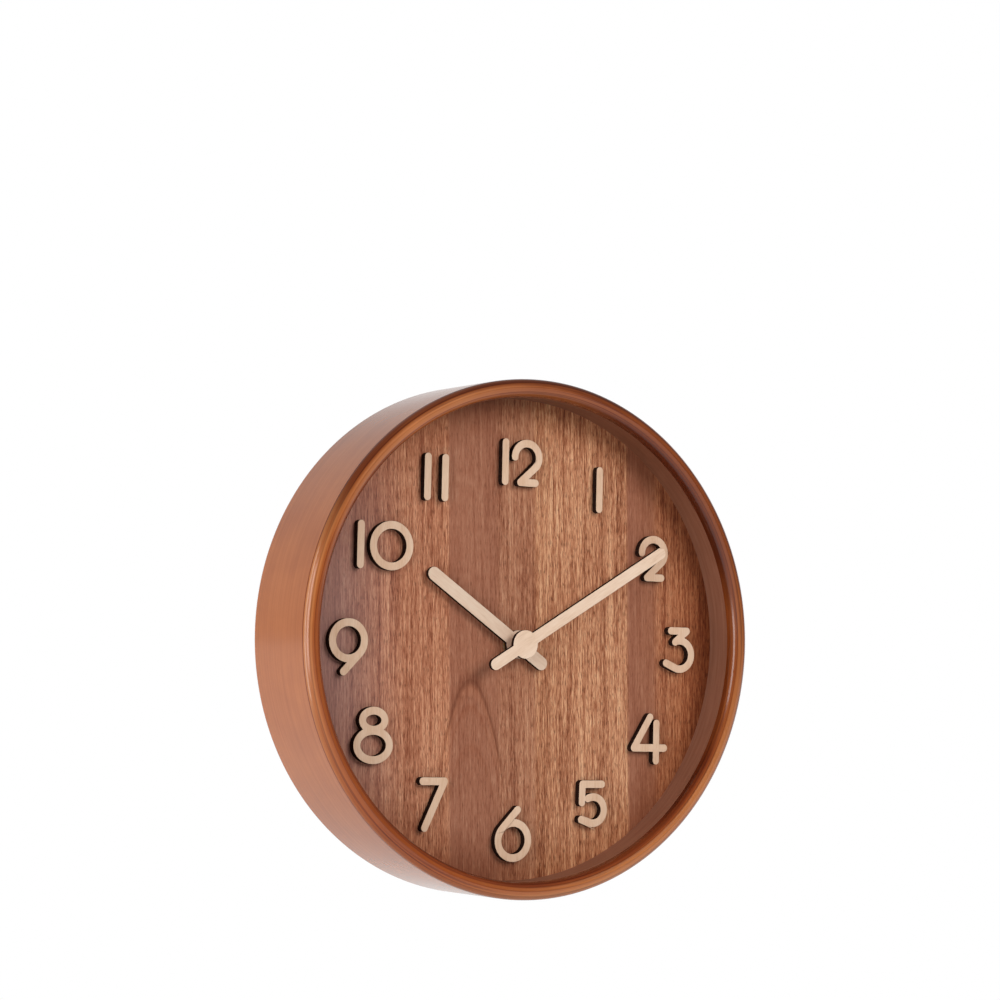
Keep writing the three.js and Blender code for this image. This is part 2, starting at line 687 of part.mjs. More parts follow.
// Cover: a flat lid over the wheels with two clips inside the side walls, bored for the stem
const coverShape = roundedShape(
  housingHalf - FIT_GAP, housingBottom, housingTop - FIT_GAP, MOVEMENT_CORNER - FIT_GAP);
const clipOutside = housingInside - FIT_GAP;
const clip = (side) => block(
  Math.min(side * clipOutside, side * (clipOutside - CLIP_THICKNESS)),
  Math.max(side * clipOutside, side * (clipOutside - CLIP_THICKNESS)),
  coverInside - CLIP_DEPTH, coverInside + FIT_GAP,
  secondAt[1] - CLIP_LENGTH / 2, secondAt[1] + CLIP_LENGTH / 2);
place('movement_cover', 'blackPlastic', cut(
  join(
    cut(
      plate(coverShape, coverInside, housingBack),
      block(-housingHalf - OVERCUT, housingHalf + OVERCUT, coverInside - OVERCUT, housingBack + OVERCUT,
        housingBottom - OVERCUT, dividerBottom + FIT_GAP),
    ),
    clip(-1),
    clip(1),
  ),
  ...[axis, ...trainAt].map((spot) => {
    return at(rod(pivotHole, coverInside - OVERCUT, coverInside + PIVOT_DEPTH, SMALL_STEPS), spot);
  }),
  at(rod(stemHole, coverInside - OVERCUT, housingBack + OVERCUT, SMALL_STEPS), settingAt),
));

// Threaded bush: seated from inside the housing, drawn forward by the nut
const bushBore = hourTubeRadius + FIT_GAP;
place('threaded_bush', 'brass', turned([
  [bushBore, nutFront],
  [THREAD_RADIUS, nutFront],
  [THREAD_RADIUS, bushSeat],
  [bushFlangeRadius, bushSeat],
  [bushFlangeRadius, housingFloor],
  [bushBore, housingFloor],
  [bushBore, nutFront],
]));

// Motion work: minute arbor with cannon pinion, hour wheel with tube, reverse wheel, setting stem
const cannonBack = reverseLayer + MOTION_THICKNESS;
const collarFront = centreLayer + TRAIN_THICKNESS + FIT_GAP;
place('minute_arbor', 'zincSteel', join(
  turned([
    [0, arborFront],
    [MINUTE_ARBOR, arborFront],
    [MINUTE_ARBOR, cannonBack],
    [CLUTCH_SEAT, cannonBack],
    [CLUTCH_SEAT, collarFront],
    [CLUTCH_COLLAR, collarFront],
    [CLUTCH_COLLAR, coverInside - RUN_GAP],
    [PIVOT_RADIUS, coverInside - RUN_GAP],
    [PIVOT_RADIUS, pivotBack],
    [0, pivotBack],
  ]),
  gear(CANNON_TEETH, cannonModule, cannonAngle, reverseLayer, cannonBack),
));
place('hour_wheel', 'whiteAcetal', cut(
  join(
    gear(HOUR_TEETH, hourModule, hourAngle, hourLayer, hourLayer + MOTION_THICKNESS),
    rod(hourTubeRadius, hourHandFront, hourLayer + FIT_GAP),
  ),
  rod(hourTubeBore, hourHandFront - OVERCUT, hourLayer + MOTION_THICKNESS + OVERCUT),
));
place('reverse_wheel', 'whiteAcetal', at(cut(
  join(
    gear(REVERSE_PINION_TEETH, hourModule, 0, hourLayer, reverseLayer + FIT_GAP),
    gear(REVERSE_TEETH, cannonModule, reverseAngle, reverseLayer, cannonBack),
  ),
  rod(STUD_RADIUS + FIT_GAP, hourLayer - OVERCUT, cannonBack + OVERCUT, SMALL_STEPS),
), reverseAt));
const knobFront = housingBack + RUN_GAP;
const knobBack = knobFront + KNOB_THICKNESS;
const stemBack = knobFront + KNOB_THICKNESS / 2;
place('setting_stem', 'whiteAcetal', at(join(
  gear(CANNON_TEETH, cannonModule, settingAngle, reverseLayer, cannonBack),
  turned([
    [0, pivotFront],
    [PIVOT_RADIUS, pivotFront],
    [PIVOT_RADIUS, housingFloor + RUN_GAP],
    [STEM_RADIUS, housingFloor + RUN_GAP],
    [STEM_RADIUS, stemBack],
    [0, stemBack],
  ], SMALL_STEPS),
), settingAt));
const fluteTurns = Array.from({ length: KNOB_FLUTES }, (_, i) => 360 * i / KNOB_FLUTES);
place('setting_knob', 'blackPlastic', at(cut(
  rod(KNOB_RADIUS, knobFront, knobBack),
  rod(stemHole, knobFront - OVERCUT, stemBack + FIT_GAP, SMALL_STEPS),
  ...fluteTurns.map((turn) => {
    const flute = rod(KNOB_FLUTE, knobFront - OVERCUT, knobBack + OVERCUT, FLUTE_STEPS);
    return at(flute, polar(KNOB_RADIUS, turn));
  }),
), settingAt));

// Going train, from the centre wheel with its clutch back to the rotor
place('centre_wheel', 'whiteAcetal', cut(
  gear(CENTRE_TEETH, CENTRE_MODULE, 0, centreLayer, centreLayer + TRAIN_THICKNESS),
  rod(CLUTCH_SEAT + FIT_GAP, centreLayer - OVERCUT, centreLayer + TRAIN_THICKNESS + OVERCUT, SMALL_STEPS),
));
const springFront = (cannonBack + centreLayer - CLUTCH_SHEET) / 2;
place('clutch_spring', 'zincSteel',
  washer(CLUTCH_SEAT + FIT_GAP, CLUTCH_SPRING, springFront, springFront + CLUTCH_SHEET, SMALL_STEPS));

function trainWheel(teeth, module, layer, pinionTeeth, pinionModule, pinionAngle, pinionLayer) {
  return join(
    arbor(ARBOR_RADIUS),
    gear(teeth, module, 0, layer, layer + TRAIN_THICKNESS),
    gear(pinionTeeth, pinionModule, pinionAngle, pinionLayer - FIT_GAP, layer + FIT_GAP),
  );
}

place('third_wheel', 'whiteAcetal', at(trainWheel(
  THIRD_TEETH, THIRD_MODULE, thirdLayer,
  THIRD_PINION_TEETH, CENTRE_MODULE, thirdPinionAngle, centreLayer), thirdAt));
place('second_wheel', 'whiteAcetal', at(trainWheel(
  SECOND_TEETH, SECOND_MODULE, secondLayer,
  SECOND_PINION_TEETH, THIRD_MODULE, secondPinionAngle, thirdLayer), secondAt));
place('intermediate_wheel', 'whiteAcetal', at(trainWheel(
  INTERMEDIATE_TEETH, ROTOR_MODULE, intermediateLayer,
  INTERMEDIATE_PINION_TEETH, SECOND_MODULE, intermediatePinionAngle, secondLayer), intermediateAt));

// Motor: rotor with its magnet, stator plate, coil on its core
const magnetFront = statorFront + (STATOR_SHEET - MAGNET_LENGTH) / 2;
const magnetBack = magnetFront + MAGNET_LENGTH;
place('rotor_pinion', 'whiteAcetal', at(join(
  arbor(ARBOR_RADIUS),
  gear(ROTOR_TEETH, ROTOR_MODULE, rotorAngle,
    intermediateLayer - FIT_GAP, intermediateLayer + TRAIN_THICKNESS),
), rotorAt));
place('rotor_magnet', 'magnet',
  at(washer(ARBOR_RADIUS + FIT_GAP, MAGNET_RADIUS, magnetFront, magnetBack, SMALL_STEPS), rotorAt));
const rotorHole = MAGNET_RADIUS + STATOR_GAP;
const rotorRim = rotorHole + STATOR_RIM;
const statorBack = statorFront + STATOR_SHEET;
const padBottom = COIL_RISE - CORE_HEIGHT / 2;
const padTop = COIL_RISE + CORE_HEIGHT / 2;
const elbow = [rotorAt[0] + rotorRim, COIL_RISE];
const elbowShape = strokeShape(line(rotorAt, elbow), CORE_HEIGHT);
const stemLeft = rotorAt[0] - STATOR_ARM / 2;
place('stator', 'zincSteel', cut(
  join(
    at(rod(rotorRim, statorFront, statorBack), rotorAt),
    block(stemLeft, stemLeft + STATOR_ARM, statorFront, statorBack, rotorAt[1], armTop),
    block(stemLeft, coreRight, statorFront, statorBack, armBottom, armTop),
    block(coreRight - padWidth, coreRight, statorFront, statorBack, padBottom, armTop),
    plate(elbowShape, statorFront, statorBack),
    block(elbow[0], coreLeft + padWidth, statorFront, statorBack, padBottom, padTop),
  ),
  at(rod(rotorHole, statorFront - OVERCUT, statorBack + OVERCUT), rotorAt),
));
const coreFront = statorFront - STATOR_SHEET;
place('coil_core', 'zincSteel', block(coreLeft, coreRight, coreFront, statorFront, padBottom, padTop));
const coilLeft = coilX - COIL_LENGTH / 2;
const coilRight = coilX + COIL_LENGTH / 2;
const coreY = (coreFront + statorFront) / 2;
const coreWay = block(coreLeft, coreRight, coreFront - FIT_GAP, statorFront + FIT_GAP,
  padBottom - FIT_GAP, padTop + FIT_GAP);
const spoolRadius = Math.hypot(STATOR_SHEET / 2 + FIT_GAP, CORE_HEIGHT / 2 + FIT_GAP) + BOBBIN_WALL;

// A body turned about the coil's own line, given by [radius, x] points
function alongCoil(profile) {
  return turned(profile).rotate([0, 0, -90]).translate([0, coreY, COIL_RISE]);
}

place('coil_bobbin', 'whiteAcetal', cut(
  alongCoil([
    [0, coilLeft],
    [FLANGE_RADIUS, coilLeft],
    [FLANGE_RADIUS, coilLeft + FLANGE_THICKNESS],
    [spoolRadius, coilLeft + FLANGE_THICKNESS],
    [spoolRadius, coilRight - FLANGE_THICKNESS],
    [FLANGE_RADIUS, coilRight - FLANGE_THICKNESS],
    [FLANGE_RADIUS, coilRight],
    [0, coilRight],
  ]),
  coreWay,
));
const wireBore = spoolRadius + FIT_GAP;
const wireLeft = coilLeft + FLANGE_THICKNESS + FIT_GAP;
const wireRight = coilRight - FLANGE_THICKNESS - FIT_GAP;
place('coil_winding', 'copperWire', alongCoil([
  [wireBore, wireLeft],
  [COIL_RADIUS, wireLeft],
  [COIL_RADIUS, wireRight],
  [wireBore, wireRight],
  [wireBore, wireLeft],
]));

// Circuit: board on its posts, chip and quartz crystal on its back
const boardBack = boardFront + BOARD_SHEET;
const boardX = boardLeft + BOARD_WIDTH / 2;
const boardZ = boardBottom + BOARD_HEIGHT / 2;
place('circuit_board', 'circuitBoard', block(
  boardLeft, boardLeft + BOARD_WIDTH, boardFront, boardBack, boardBottom, boardBottom + BOARD_HEIGHT));
place('circuit_chip', 'blackPlastic', at(
  rod(CHIP_RADIUS, boardBack, boardBack + CHIP_HEIGHT), [boardX + CHIP_RADIUS, boardZ]));
const crystal = turned([
  [0, -CRYSTAL_LENGTH / 2],
  [CRYSTAL_RADIUS, -CRYSTAL_LENGTH / 2],
  [CRYSTAL_RADIUS, CRYSTAL_LENGTH / 2],
  [0, CRYSTAL_LENGTH / 2],
], SMALL_STEPS);
place('quartz_crystal', 'zincSteel', crystal.rotate([90, 0, 0]).translate(
  [boardX - CHIP_RADIUS - CRYSTAL_RADIUS, boardBack + CRYSTAL_RADIUS, boardZ]));

// Cell and its contacts, whose tails reach the board through slots in the divider
const cell = turned([
  [0, cellLeft],
  [CELL_RADIUS - CELL_EDGE, cellLeft],
  [CELL_RADIUS, cellLeft + CELL_EDGE],
  [CELL_RADIUS, cellRight - CELL_NUB - CELL_EDGE],
  [CELL_RADIUS - CELL_EDGE, cellRight - CELL_NUB],
  [CELL_NUB_RADIUS, cellRight - CELL_NUB],
  [CELL_NUB_RADIUS, cellRight],
  [0, cellRight],
]);
place('battery', 'cellWrap', cell.rotate([0, 0, -90]).translate([0, cellY, cellZ]));
const contactFront = housingFloor + FIT_GAP;
const tailEnd = boardBottom + CONTACT_TAIL;
const leafX = housingInside - FIT_GAP - CONTACT_SHEET;
const stripTop = dividerBottom - FIT_GAP;
const stripBack = contactFront + CONTACT_STRIP;
place('positive_contact', 'zincSteel', join(
  block(leafX, leafX + CONTACT_SHEET, contactFront, cellY + CELL_NUB_RADIUS,
    cellZ - CELL_NUB_RADIUS, stripTop),
  block(tailRightX, leafX + CONTACT_SHEET, contactFront, stripBack, stripTop - CONTACT_SHEET, stripTop),
  block(tailRightX, tailRightX + CONTACT_SHEET, contactFront, stripBack, stripTop, tailEnd),
  block(tailRightX, tailRightX + CONTACT_SHEET, contactFront, boardFront, dividerBottom, tailEnd),
));
const springHalf = CELL_RADIUS - insideCorner;
const springX = cellLeft - FIT_GAP - CONTACT_SHEET / 2;
const springRise = springX - tailLeftX - CONTACT_SHEET / 2;
const bend = (springHalf ** 2 + springRise ** 2) / (2 * springRise);
const sweep = Math.asin(springHalf / bend);
const springArc = new THREE.Path();
springArc.absarc(springX - bend, cellZ, bend, -sweep, sweep);
place('negative_contact', 'zincSteel', join(
  plate(strokeShape(springArc, CONTACT_SHEET), cellY - CONTACT_REACH, cellY + CONTACT_REACH),
  block(tailLeftX, tailLeftX + CONTACT_SHEET, cellY - CONTACT_REACH, boardFront, cellZ + springHalf, tailEnd),
));

export default clock;
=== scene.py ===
import math

import bmesh
import bpy
from mathutils import Matrix, Vector


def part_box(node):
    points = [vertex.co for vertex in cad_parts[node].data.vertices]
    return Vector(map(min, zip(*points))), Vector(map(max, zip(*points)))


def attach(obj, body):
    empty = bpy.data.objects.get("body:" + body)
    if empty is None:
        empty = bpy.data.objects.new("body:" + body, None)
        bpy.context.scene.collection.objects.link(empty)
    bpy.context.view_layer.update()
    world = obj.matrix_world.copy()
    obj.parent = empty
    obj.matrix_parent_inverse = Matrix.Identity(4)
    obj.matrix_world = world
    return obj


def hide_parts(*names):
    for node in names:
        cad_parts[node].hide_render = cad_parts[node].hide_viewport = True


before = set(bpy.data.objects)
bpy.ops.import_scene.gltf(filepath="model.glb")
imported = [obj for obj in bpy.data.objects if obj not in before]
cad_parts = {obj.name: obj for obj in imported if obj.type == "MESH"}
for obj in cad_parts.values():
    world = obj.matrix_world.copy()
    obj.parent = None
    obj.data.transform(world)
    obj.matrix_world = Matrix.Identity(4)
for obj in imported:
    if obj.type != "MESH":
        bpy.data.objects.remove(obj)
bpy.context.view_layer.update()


# Case ring: a strip of birch plywood bent into a hoop on a former and glued. Its front edge is turned to
# a full round, a rebate for the dial is cut behind, and it is stained red-brown under a satin lacquer.
MM = 0.001
MM_PER_M = 1000
SAME_POINT = 1e-6
CASE_WALL = 7.6 * MM
CASE_REBATE = 1.5 * MM
LIP_DEPTH = 5.6 * MM
LINING_STEP = 0.3 * MM
FRONT_ROUNDING = 3.79 * MM
BACK_ROUNDING = 0.8 * MM
CASE_TURNS = 224
CREASE = math.radians(35)
# A hoop of points this far from each rounding keeps the shading of the flat side even.
FLAT_MARGIN = 0.5 * MM

ring_low, ring_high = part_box("case_ring")
dial_low, dial_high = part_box("dial_board")
RING_MIDDLE = (ring_low + ring_high) / 2
RING_RADIUS = (ring_high.x - ring_low.x) / 2
RING_INSIDE = RING_RADIUS - CASE_WALL
REBATE_RADIUS = RING_INSIDE + CASE_REBATE
LINING_RADIUS = RING_INSIDE + LINING_STEP
LIP_END = ring_low.y + LIP_DEPTH


def linear(colour):
    """An sRGB hex colour as linear red, green, blue and alpha."""
    parts = [int(colour[i:i + 2], 16) / 255 for i in (1, 3, 5)]
    return (*[p / 12.92 if p <= 0.04045 else ((p + 0.055) / 1.055) ** 2.4 for p in parts], 1.0)


def new_finish(name):
    """An empty node material."""
    finish = bpy.data.materials.new(name)
    finish.use_nodes = True
    finish.node_tree.nodes.clear()
    return finish


def add(finish, kind, links, stops=(), **settings):
    """Adds a node: links names its sockets and gives each a socket to join or a value to hold."""
    node = finish.node_tree.nodes.new(kind)
    for name, value in settings.items():
        setattr(node, name, value)
    for number, (place, colour) in enumerate(stops):
        ramp = node.color_ramp.elements
        stop = ramp[number] if number < 2 else ramp.new(place)
        stop.position = place
        stop.color = linear(colour)
    for socket, source in links.items():
        if isinstance(source, bpy.types.NodeSocket):
            finish.node_tree.links.new(source, node.inputs[socket])
        else:
            node.inputs[socket].default_value = source
    return node.outputs


def piece(name, shape, *finishes):
    """An object of that mesh: flat across its flat faces and smooth round its curves."""
    for edge in shape.edges:
        edge.smooth = edge.calc_face_angle(math.pi) < CREASE
    mesh = bpy.data.meshes.new(name)
    shape.to_mesh(mesh)
    shape.free()
    for finish in finishes:
        mesh.materials.append(finish)
    made = bpy.data.objects.new(name, mesh)
    bpy.context.scene.collection.objects.link(made)
    return made


def from_ring_axis(point):
    """How far a point lies from the ring's axis."""
    return math.hypot(point.x - RING_MIDDLE.x, point.z - RING_MIDDLE.z)


def hoop(shape, radius, depth):
    """The edges of the circle of that radius round the ring's axis, at that depth."""
    on = {v for v in shape.verts
          if abs(v.co.y - depth) < SAME_POINT and abs(from_ring_axis(v.co) - radius) < SAME_POINT}
    return [e for e in shape.edges if e.verts[0] in on and e.verts[1] in on]


def spun(points, middle, axis, turns, closed=False):
    """A mesh made by one full turn of an outline about the axis through middle."""
    shape = bmesh.new()
    section = [shape.verts.new(point) for point in points]
    ends = section[1:] + section[:1] if closed else section[1:]
    outline = [shape.edges.new(pair) for pair in zip(section, ends)]
    bmesh.ops.spin(shape, geom=section + outline, cent=middle, axis=axis, angle=2 * math.pi,
                   steps=turns, use_merge=True)
    bmesh.ops.remove_doubles(shape, verts=shape.verts, dist=SAME_POINT)
    bmesh.ops.recalc_face_normals(shape, faces=shape.faces)
    return shape


# Settings of a mix that darkens the colour below it as a glaze does.
TINT = dict(data_type="RGBA", blend_type="MULTIPLY")

# Stained plywood: close birch grain running round the hoop, a little uneven where the stain soaked in. Along the
# rounded edge the cut plies show as fine lines and the shoulders are darker, and painted highlights, sheen and shade
# lighten and darken the edge round the hoop. Lacquer gives a clear gloss.
plywood = new_finish("stained_lacquered_birch_plywood")
place = add(plywood, "ShaderNodeTexCoord", {})["Object"]
in_mm = add(plywood, "ShaderNodeMapping", {
    "Vector": place, "Scale": (MM_PER_M,) * 3, "Location": -MM_PER_M * RING_MIDDLE})[0]
across = add(plywood, "ShaderNodeVectorMath", {0: in_mm, 1: (1, 0, 1)}, operation="MULTIPLY")[0]
radius = add(plywood, "ShaderNodeVectorMath", {0: across}, operation="LENGTH")["Value"]
split = add(plywood, "ShaderNodeSeparateXYZ", {0: in_mm})
# Grain lines are drawn 1 mm wide, coarser than the real 0.2 mm, and run about 60 mm round the hoop.
across_grain = add(plywood, "ShaderNodeMath", {0: split["Y"], 1: radius}, operation="ADD")[0]
round_hoop = add(plywood, "ShaderNodeVectorMath", {0: across, 1: (1 / 60, 1, 1 / 60)}, operation="MULTIPLY")[0]
hoop_split = add(plywood, "ShaderNodeSeparateXYZ", {0: round_hoop})
grain_place = add(plywood, "ShaderNodeCombineXYZ", {
    "X": hoop_split["X"], "Y": across_grain, "Z": hoop_split["Z"]})[0]
grain = add(plywood, "ShaderNodeTexNoise", {
    "Vector": grain_place, "Scale": 1.0, "Detail": 3.0, "Roughness": 0.5})["Fac"]
soak = add(plywood, "ShaderNodeTexNoise", {
    "Vector": in_mm, "Scale": 1 / 30, "Detail": 5.0, "Roughness": 0.6})["Fac"]
stain = add(plywood, "ShaderNodeValToRGB", {"Fac": grain}, stops=[
    (0.25, "#A15827"), (0.5, "#AA602D"), (0.75, "#B36833")])[0]
uneven = add(plywood, "ShaderNodeValToRGB", {"Fac": soak}, stops=[
    (0.3, "#E9DFD8"), (0.7, "#FFFFFF")])[0]
soaked = add(plywood, "ShaderNodeMix", {0: 1.0, 6: stain, 7: uneven}, **TINT)[2]
through_wall = add(plywood, "ShaderNodeMapRange", {
    "Value": radius, "From Min": MM_PER_M * RING_INSIDE, "From Max": MM_PER_M * RING_RADIUS})[0]
plies = add(plywood, "ShaderNodeValToRGB", {"Fac": through_wall}, stops=[
    (0.0, "#FFFFFF"), (0.22, "#FFFFFF"), (0.25, "#B89674"), (0.28, "#FFFAF4"), (0.48, "#F6EDE6"), (0.505, "#C8AE96"),
    (0.53, "#FFFDF8"), (0.745, "#FFF8F0"), (0.775, "#A98A6C"), (0.805, "#FFFFFF"), (1.0, "#FFFFFF")])[0]
lined = add(plywood, "ShaderNodeMix", {0: 1.0, 6: soaked, 7: plies}, **TINT)[2]
# The angle round the edge's rounding runs from 0 on the outer wall to pi on the inner wall.
rounding_start = MM_PER_M * (ring_low.y + FRONT_ROUNDING - RING_MIDDLE.y)
rounding_radius = MM_PER_M * (RING_RADIUS - FRONT_ROUNDING)
ahead = add(plywood, "ShaderNodeMath", {0: rounding_start, 1: split["Y"]}, operation="SUBTRACT")[0]
ahead = add(plywood, "ShaderNodeMath", {0: ahead, 1: 0.0}, operation="MAXIMUM")[0]
outward = add(plywood, "ShaderNodeMath", {0: radius, 1: rounding_radius}, operation="SUBTRACT")[0]
turn = add(plywood, "ShaderNodeMath", {0: ahead, 1: outward}, operation="ARCTAN2")[0]
half_turn = add(plywood, "ShaderNodeMath", {0: turn, 1: math.pi}, operation="DIVIDE")[0]
inner_slope = add(plywood, "ShaderNodeValToRGB", {"Fac": half_turn}, stops=[
    (0.0, "#FFFFFF"), (0.012, "#B4968A"), (0.045, "#B4968A"), (0.07, "#FFFFFF"), (0.6, "#FFFFFF"), (0.72, "#D6BCAA"),
    (0.8, "#AE8C76"), (1.0, "#A17D68")])[0]
# Painted sheen and shade: the edge is lightened and darkened round the hoop where the satin sheen fell brighter
# or dimmer. This turn runs from 6 o'clock over 9, 12 and 3 back to 6.
clock_turn = add(plywood, "ShaderNodeMath", {0: split["X"], 1: split["Z"]}, operation="ARCTAN2")[0]
clock_share = add(plywood, "ShaderNodeMapRange", {
    "Value": clock_turn, "From Min": -math.pi, "From Max": math.pi})[0]
hoop_sheen_and_shade = add(plywood, "ShaderNodeValToRGB", {"Fac": clock_share}, stops=[
    (0.0, "#F6EADF"), (0.1, "#E4D0BE"), (0.24, "#EEE2D6"), (0.34, "#F0E9E2"), (0.4, "#FFFFFF"), (0.46, "#EEE7E1"),
    (0.5, "#DCD2CA"), (0.56, "#D2C5BA"), (0.68, "#CCBFB4"), (0.76, "#EAE2DA"), (0.84, "#FFFFFF"), (0.94, "#FFFDFA"),
    (1.0, "#F6EADF")])[0]
# Painted light: the inner slope's darkening is lifted at the top, where the slope faces down toward light from below,
# and at 3 o'clock as a painted highlight.
slope_darkening_share = add(plywood, "ShaderNodeValToRGB", {"Fac": clock_share}, stops=[
    (0.36, "#FFFFFF"), (0.43, "#666666"), (0.52, "#666666"), (0.57, "#FFFFFF"), (0.69, "#FFFFFF"), (0.73, "#707070"),
    (0.79, "#707070"), (0.83, "#FFFFFF")])[0]
sloped = add(plywood, "ShaderNodeMix", {0: slope_darkening_share, 6: lined, 7: inner_slope}, **TINT)[2]
on_edge = add(plywood, "ShaderNodeMapRange", {"Value": half_turn, "From Min": 0.04, "From Max": 0.2})[0]
sheened_edge = add(plywood, "ShaderNodeMix", {0: on_edge, 6: sloped, 7: hoop_sheen_and_shade}, **TINT)[2]
# Sanding lines follow the edge: 15 round its half turn, so 0.8 mm apart.
line_height = add(plywood, "ShaderNodeMath", {0: half_turn, 1: 15.0}, operation="MULTIPLY")[0]
line_place = add(plywood, "ShaderNodeCombineXYZ", {
    "X": hoop_split["X"], "Y": line_height, "Z": hoop_split["Z"]})[0]
lines = add(plywood, "ShaderNodeTexNoise", {
    "Vector": line_place, "Scale": 1.0, "Detail": 2.0, "Roughness": 0.5})["Fac"]
line_tone = add(plywood, "ShaderNodeValToRGB", {"Fac": lines}, stops=[
    (0.34, "#CBB6A6"), (0.47, "#FFFAF5"), (0.6, "#FFFFFF")])[0]
uneven_edge = add(plywood, "ShaderNodeMix", {0: on_edge, 6: sheened_edge, 7: line_tone}, **TINT)[2]
# The outer shoulder is darkened most along the top and upper left, and a little all round.
shoulder_darkening = add(plywood, "ShaderNodeValToRGB", {"Fac": clock_share}, stops=[
    (0.0, "#404040"), (0.08, "#303030"), (0.2, "#202020"), (0.29, "#303030"), (0.33, "#FFFFFF"), (0.55, "#FFFFFF"),
    (0.61, "#606060")])[0]
on_shoulder = add(plywood, "ShaderNodeValToRGB", {"Fac": half_turn}, stops=[
    (0.0, "#000000"), (0.03, "#FFFFFF"), (0.3, "#FFFFFF"), (0.45, "#000000")])[0]
shoulder_darkening_share = add(plywood, "ShaderNodeMath", {0: shoulder_darkening, 1: on_shoulder}, operation="MULTIPLY")[0]
darkened = add(plywood, "ShaderNodeMix", {0: shoulder_darkening_share, 6: uneven_edge, 7: linear("#AC9A92")}, **TINT)[2]
# Painted highlights: the edge is lightened where gloss and sheen fell on it, on its outer half at the left and at
# the foot, and on its crest elsewhere.
outer_highlight_places = add(plywood, "ShaderNodeValToRGB", {"Fac": clock_share}, stops=[
    (0.0, "#9A9A9A"), (0.04, "#606060"), (0.07, "#000000"), (0.14, "#000000"), (0.21, "#8C8C8C"), (0.285, "#A0A0A0"),
    (0.32, "#7A7A7A"), (0.345, "#000000"), (0.88, "#000000"), (0.93, "#A0A0A0"), (1.0, "#9A9A9A")])[0]
outer_half = add(plywood, "ShaderNodeValToRGB", {"Fac": half_turn}, stops=[
    (0.05, "#000000"), (0.075, "#FFFFFF"), (0.15, "#FFFFFF"), (0.25, "#9A9A9A"), (0.36, "#FFFFFF"),
    (0.44, "#000000")])[0]
crest_highlight_places = add(plywood, "ShaderNodeValToRGB", {"Fac": clock_share}, stops=[
    (0.0, "#5A5A5A"), (0.06, "#000000"), (0.3, "#000000"), (0.36, "#7A7A7A"), (0.44, "#7A7A7A"), (0.5, "#303030"),
    (0.56, "#000000"), (0.68, "#000000"), (0.76, "#707070"), (0.82, "#909090"), (0.94, "#8A8A8A"),
    (1.0, "#5A5A5A")])[0]
crest = add(plywood, "ShaderNodeValToRGB", {"Fac": half_turn}, stops=[
    (0.33, "#000000"), (0.44, "#FFFFFF"), (0.62, "#FFFFFF"), (0.68, "#000000")])[0]
outer_highlight = add(plywood, "ShaderNodeMath", {0: outer_highlight_places, 1: outer_half}, operation="MULTIPLY")[0]
painted_highlight = add(plywood, "ShaderNodeMath", {0: crest_highlight_places, 1: crest, 2: outer_highlight}, operation="MULTIPLY_ADD")[0]
coloured = add(plywood, "ShaderNodeMix", {0: painted_highlight, 6: darkened, 7: linear("#DB985F")}, data_type="RGBA")[2]
sheen = add(plywood, "ShaderNodeMapRange", {"Value": soak, "To Min": 0.12, "To Max": 0.22})[0]
relief = add(plywood, "ShaderNodeBump", {"Height": grain, "Strength": 0.06, "Distance": 0.1 * MM})[0]
surface = add(plywood, "ShaderNodeBsdfPrincipled", {
    "Base Color": coloured, "Roughness": sheen, "Normal": relief, "IOR": 1.48})[0]
add(plywood, "ShaderNodeOutputMaterial", {"Surface": surface})

# Case lining: the inner wall is sprayed with stain only, so it stays duller and greyer than the lacquered outside.
lining = new_finish("matt_stained_birch_lining")
place = add(lining, "ShaderNodeTexCoord", {})["Object"]
# Fibres are drawn 1.4 mm wide and 22 mm long, coarser than they are.
fibre_place = add(lining, "ShaderNodeMapping", {"Vector": place, "Scale": (45, 700, 45)})[0]
fibre = add(lining, "ShaderNodeTexNoise", {
    "Vector": fibre_place, "Scale": 1.0, "Detail": 4.0, "Roughness": 0.6})["Fac"]
dull_stain = add(lining, "ShaderNodeValToRGB", {"Fac": fibre}, stops=[
    (0.3, "#84533C"), (0.5, "#8E5C45"), (0.7, "#97654E")])[0]
# Painted shade: the wall gets darker toward the top, where it faces down into deep shade.
height = add(lining, "ShaderNodeSeparateXYZ", {0: place})["Z"]
top_shade = add(lining, "ShaderNodeMapRange", {
    "Value": height, "From Min": RING_MIDDLE.z + 25 * MM, "From Max": RING_MIDDLE.z + 85 * MM})[0]
stain_and_top_shade = add(lining, "ShaderNodeMix", {0: top_shade, 6: dull_stain, 7: linear("#CFC0AE")}, **TINT)[2]
relief = add(lining, "ShaderNodeBump", {"Height": fibre, "Strength": 0.1, "Distance": 0.1 * MM})[0]
surface = add(lining, "ShaderNodeBsdfPrincipled", {"Base Color": stain_and_top_shade, "Roughness": 0.6, "Normal": relief})[0]
add(lining, "ShaderNodeOutputMaterial", {"Surface": surface})

# Bare plywood: the rebate is cut after staining, so it shows pale birch with a woolly, sawn surface.
bare_plywood = new_finish("sawn_bare_birch_plywood")
place = add(bare_plywood, "ShaderNodeTexCoord", {})["Object"]
# Fibres are drawn 1.1 mm wide and 17 mm long, coarser than they are.
fibre_place = add(bare_plywood, "ShaderNodeMapping", {"Vector": place, "Scale": (60, 900, 60)})[0]
fibre = add(bare_plywood, "ShaderNodeTexNoise", {
    "Vector": fibre_place, "Scale": 1.0, "Detail": 5.0, "Roughness": 0.7})["Fac"]
birch = add(bare_plywood, "ShaderNodeValToRGB", {"Fac": fibre}, stops=[
    (0.3, "#A97E55"), (0.5, "#C49B6F"), (0.7, "#D4B088")])[0]
relief = add(bare_plywood, "ShaderNodeBump", {"Height": fibre, "Strength": 0.4, "Distance": 0.2 * MM})[0]
surface = add(bare_plywood, "ShaderNodeBsdfPrincipled", {"Base Color": birch, "Roughness": 0.8, "Normal": relief})[0]
add(bare_plywood, "ShaderNodeOutputMaterial", {"Surface": surface})

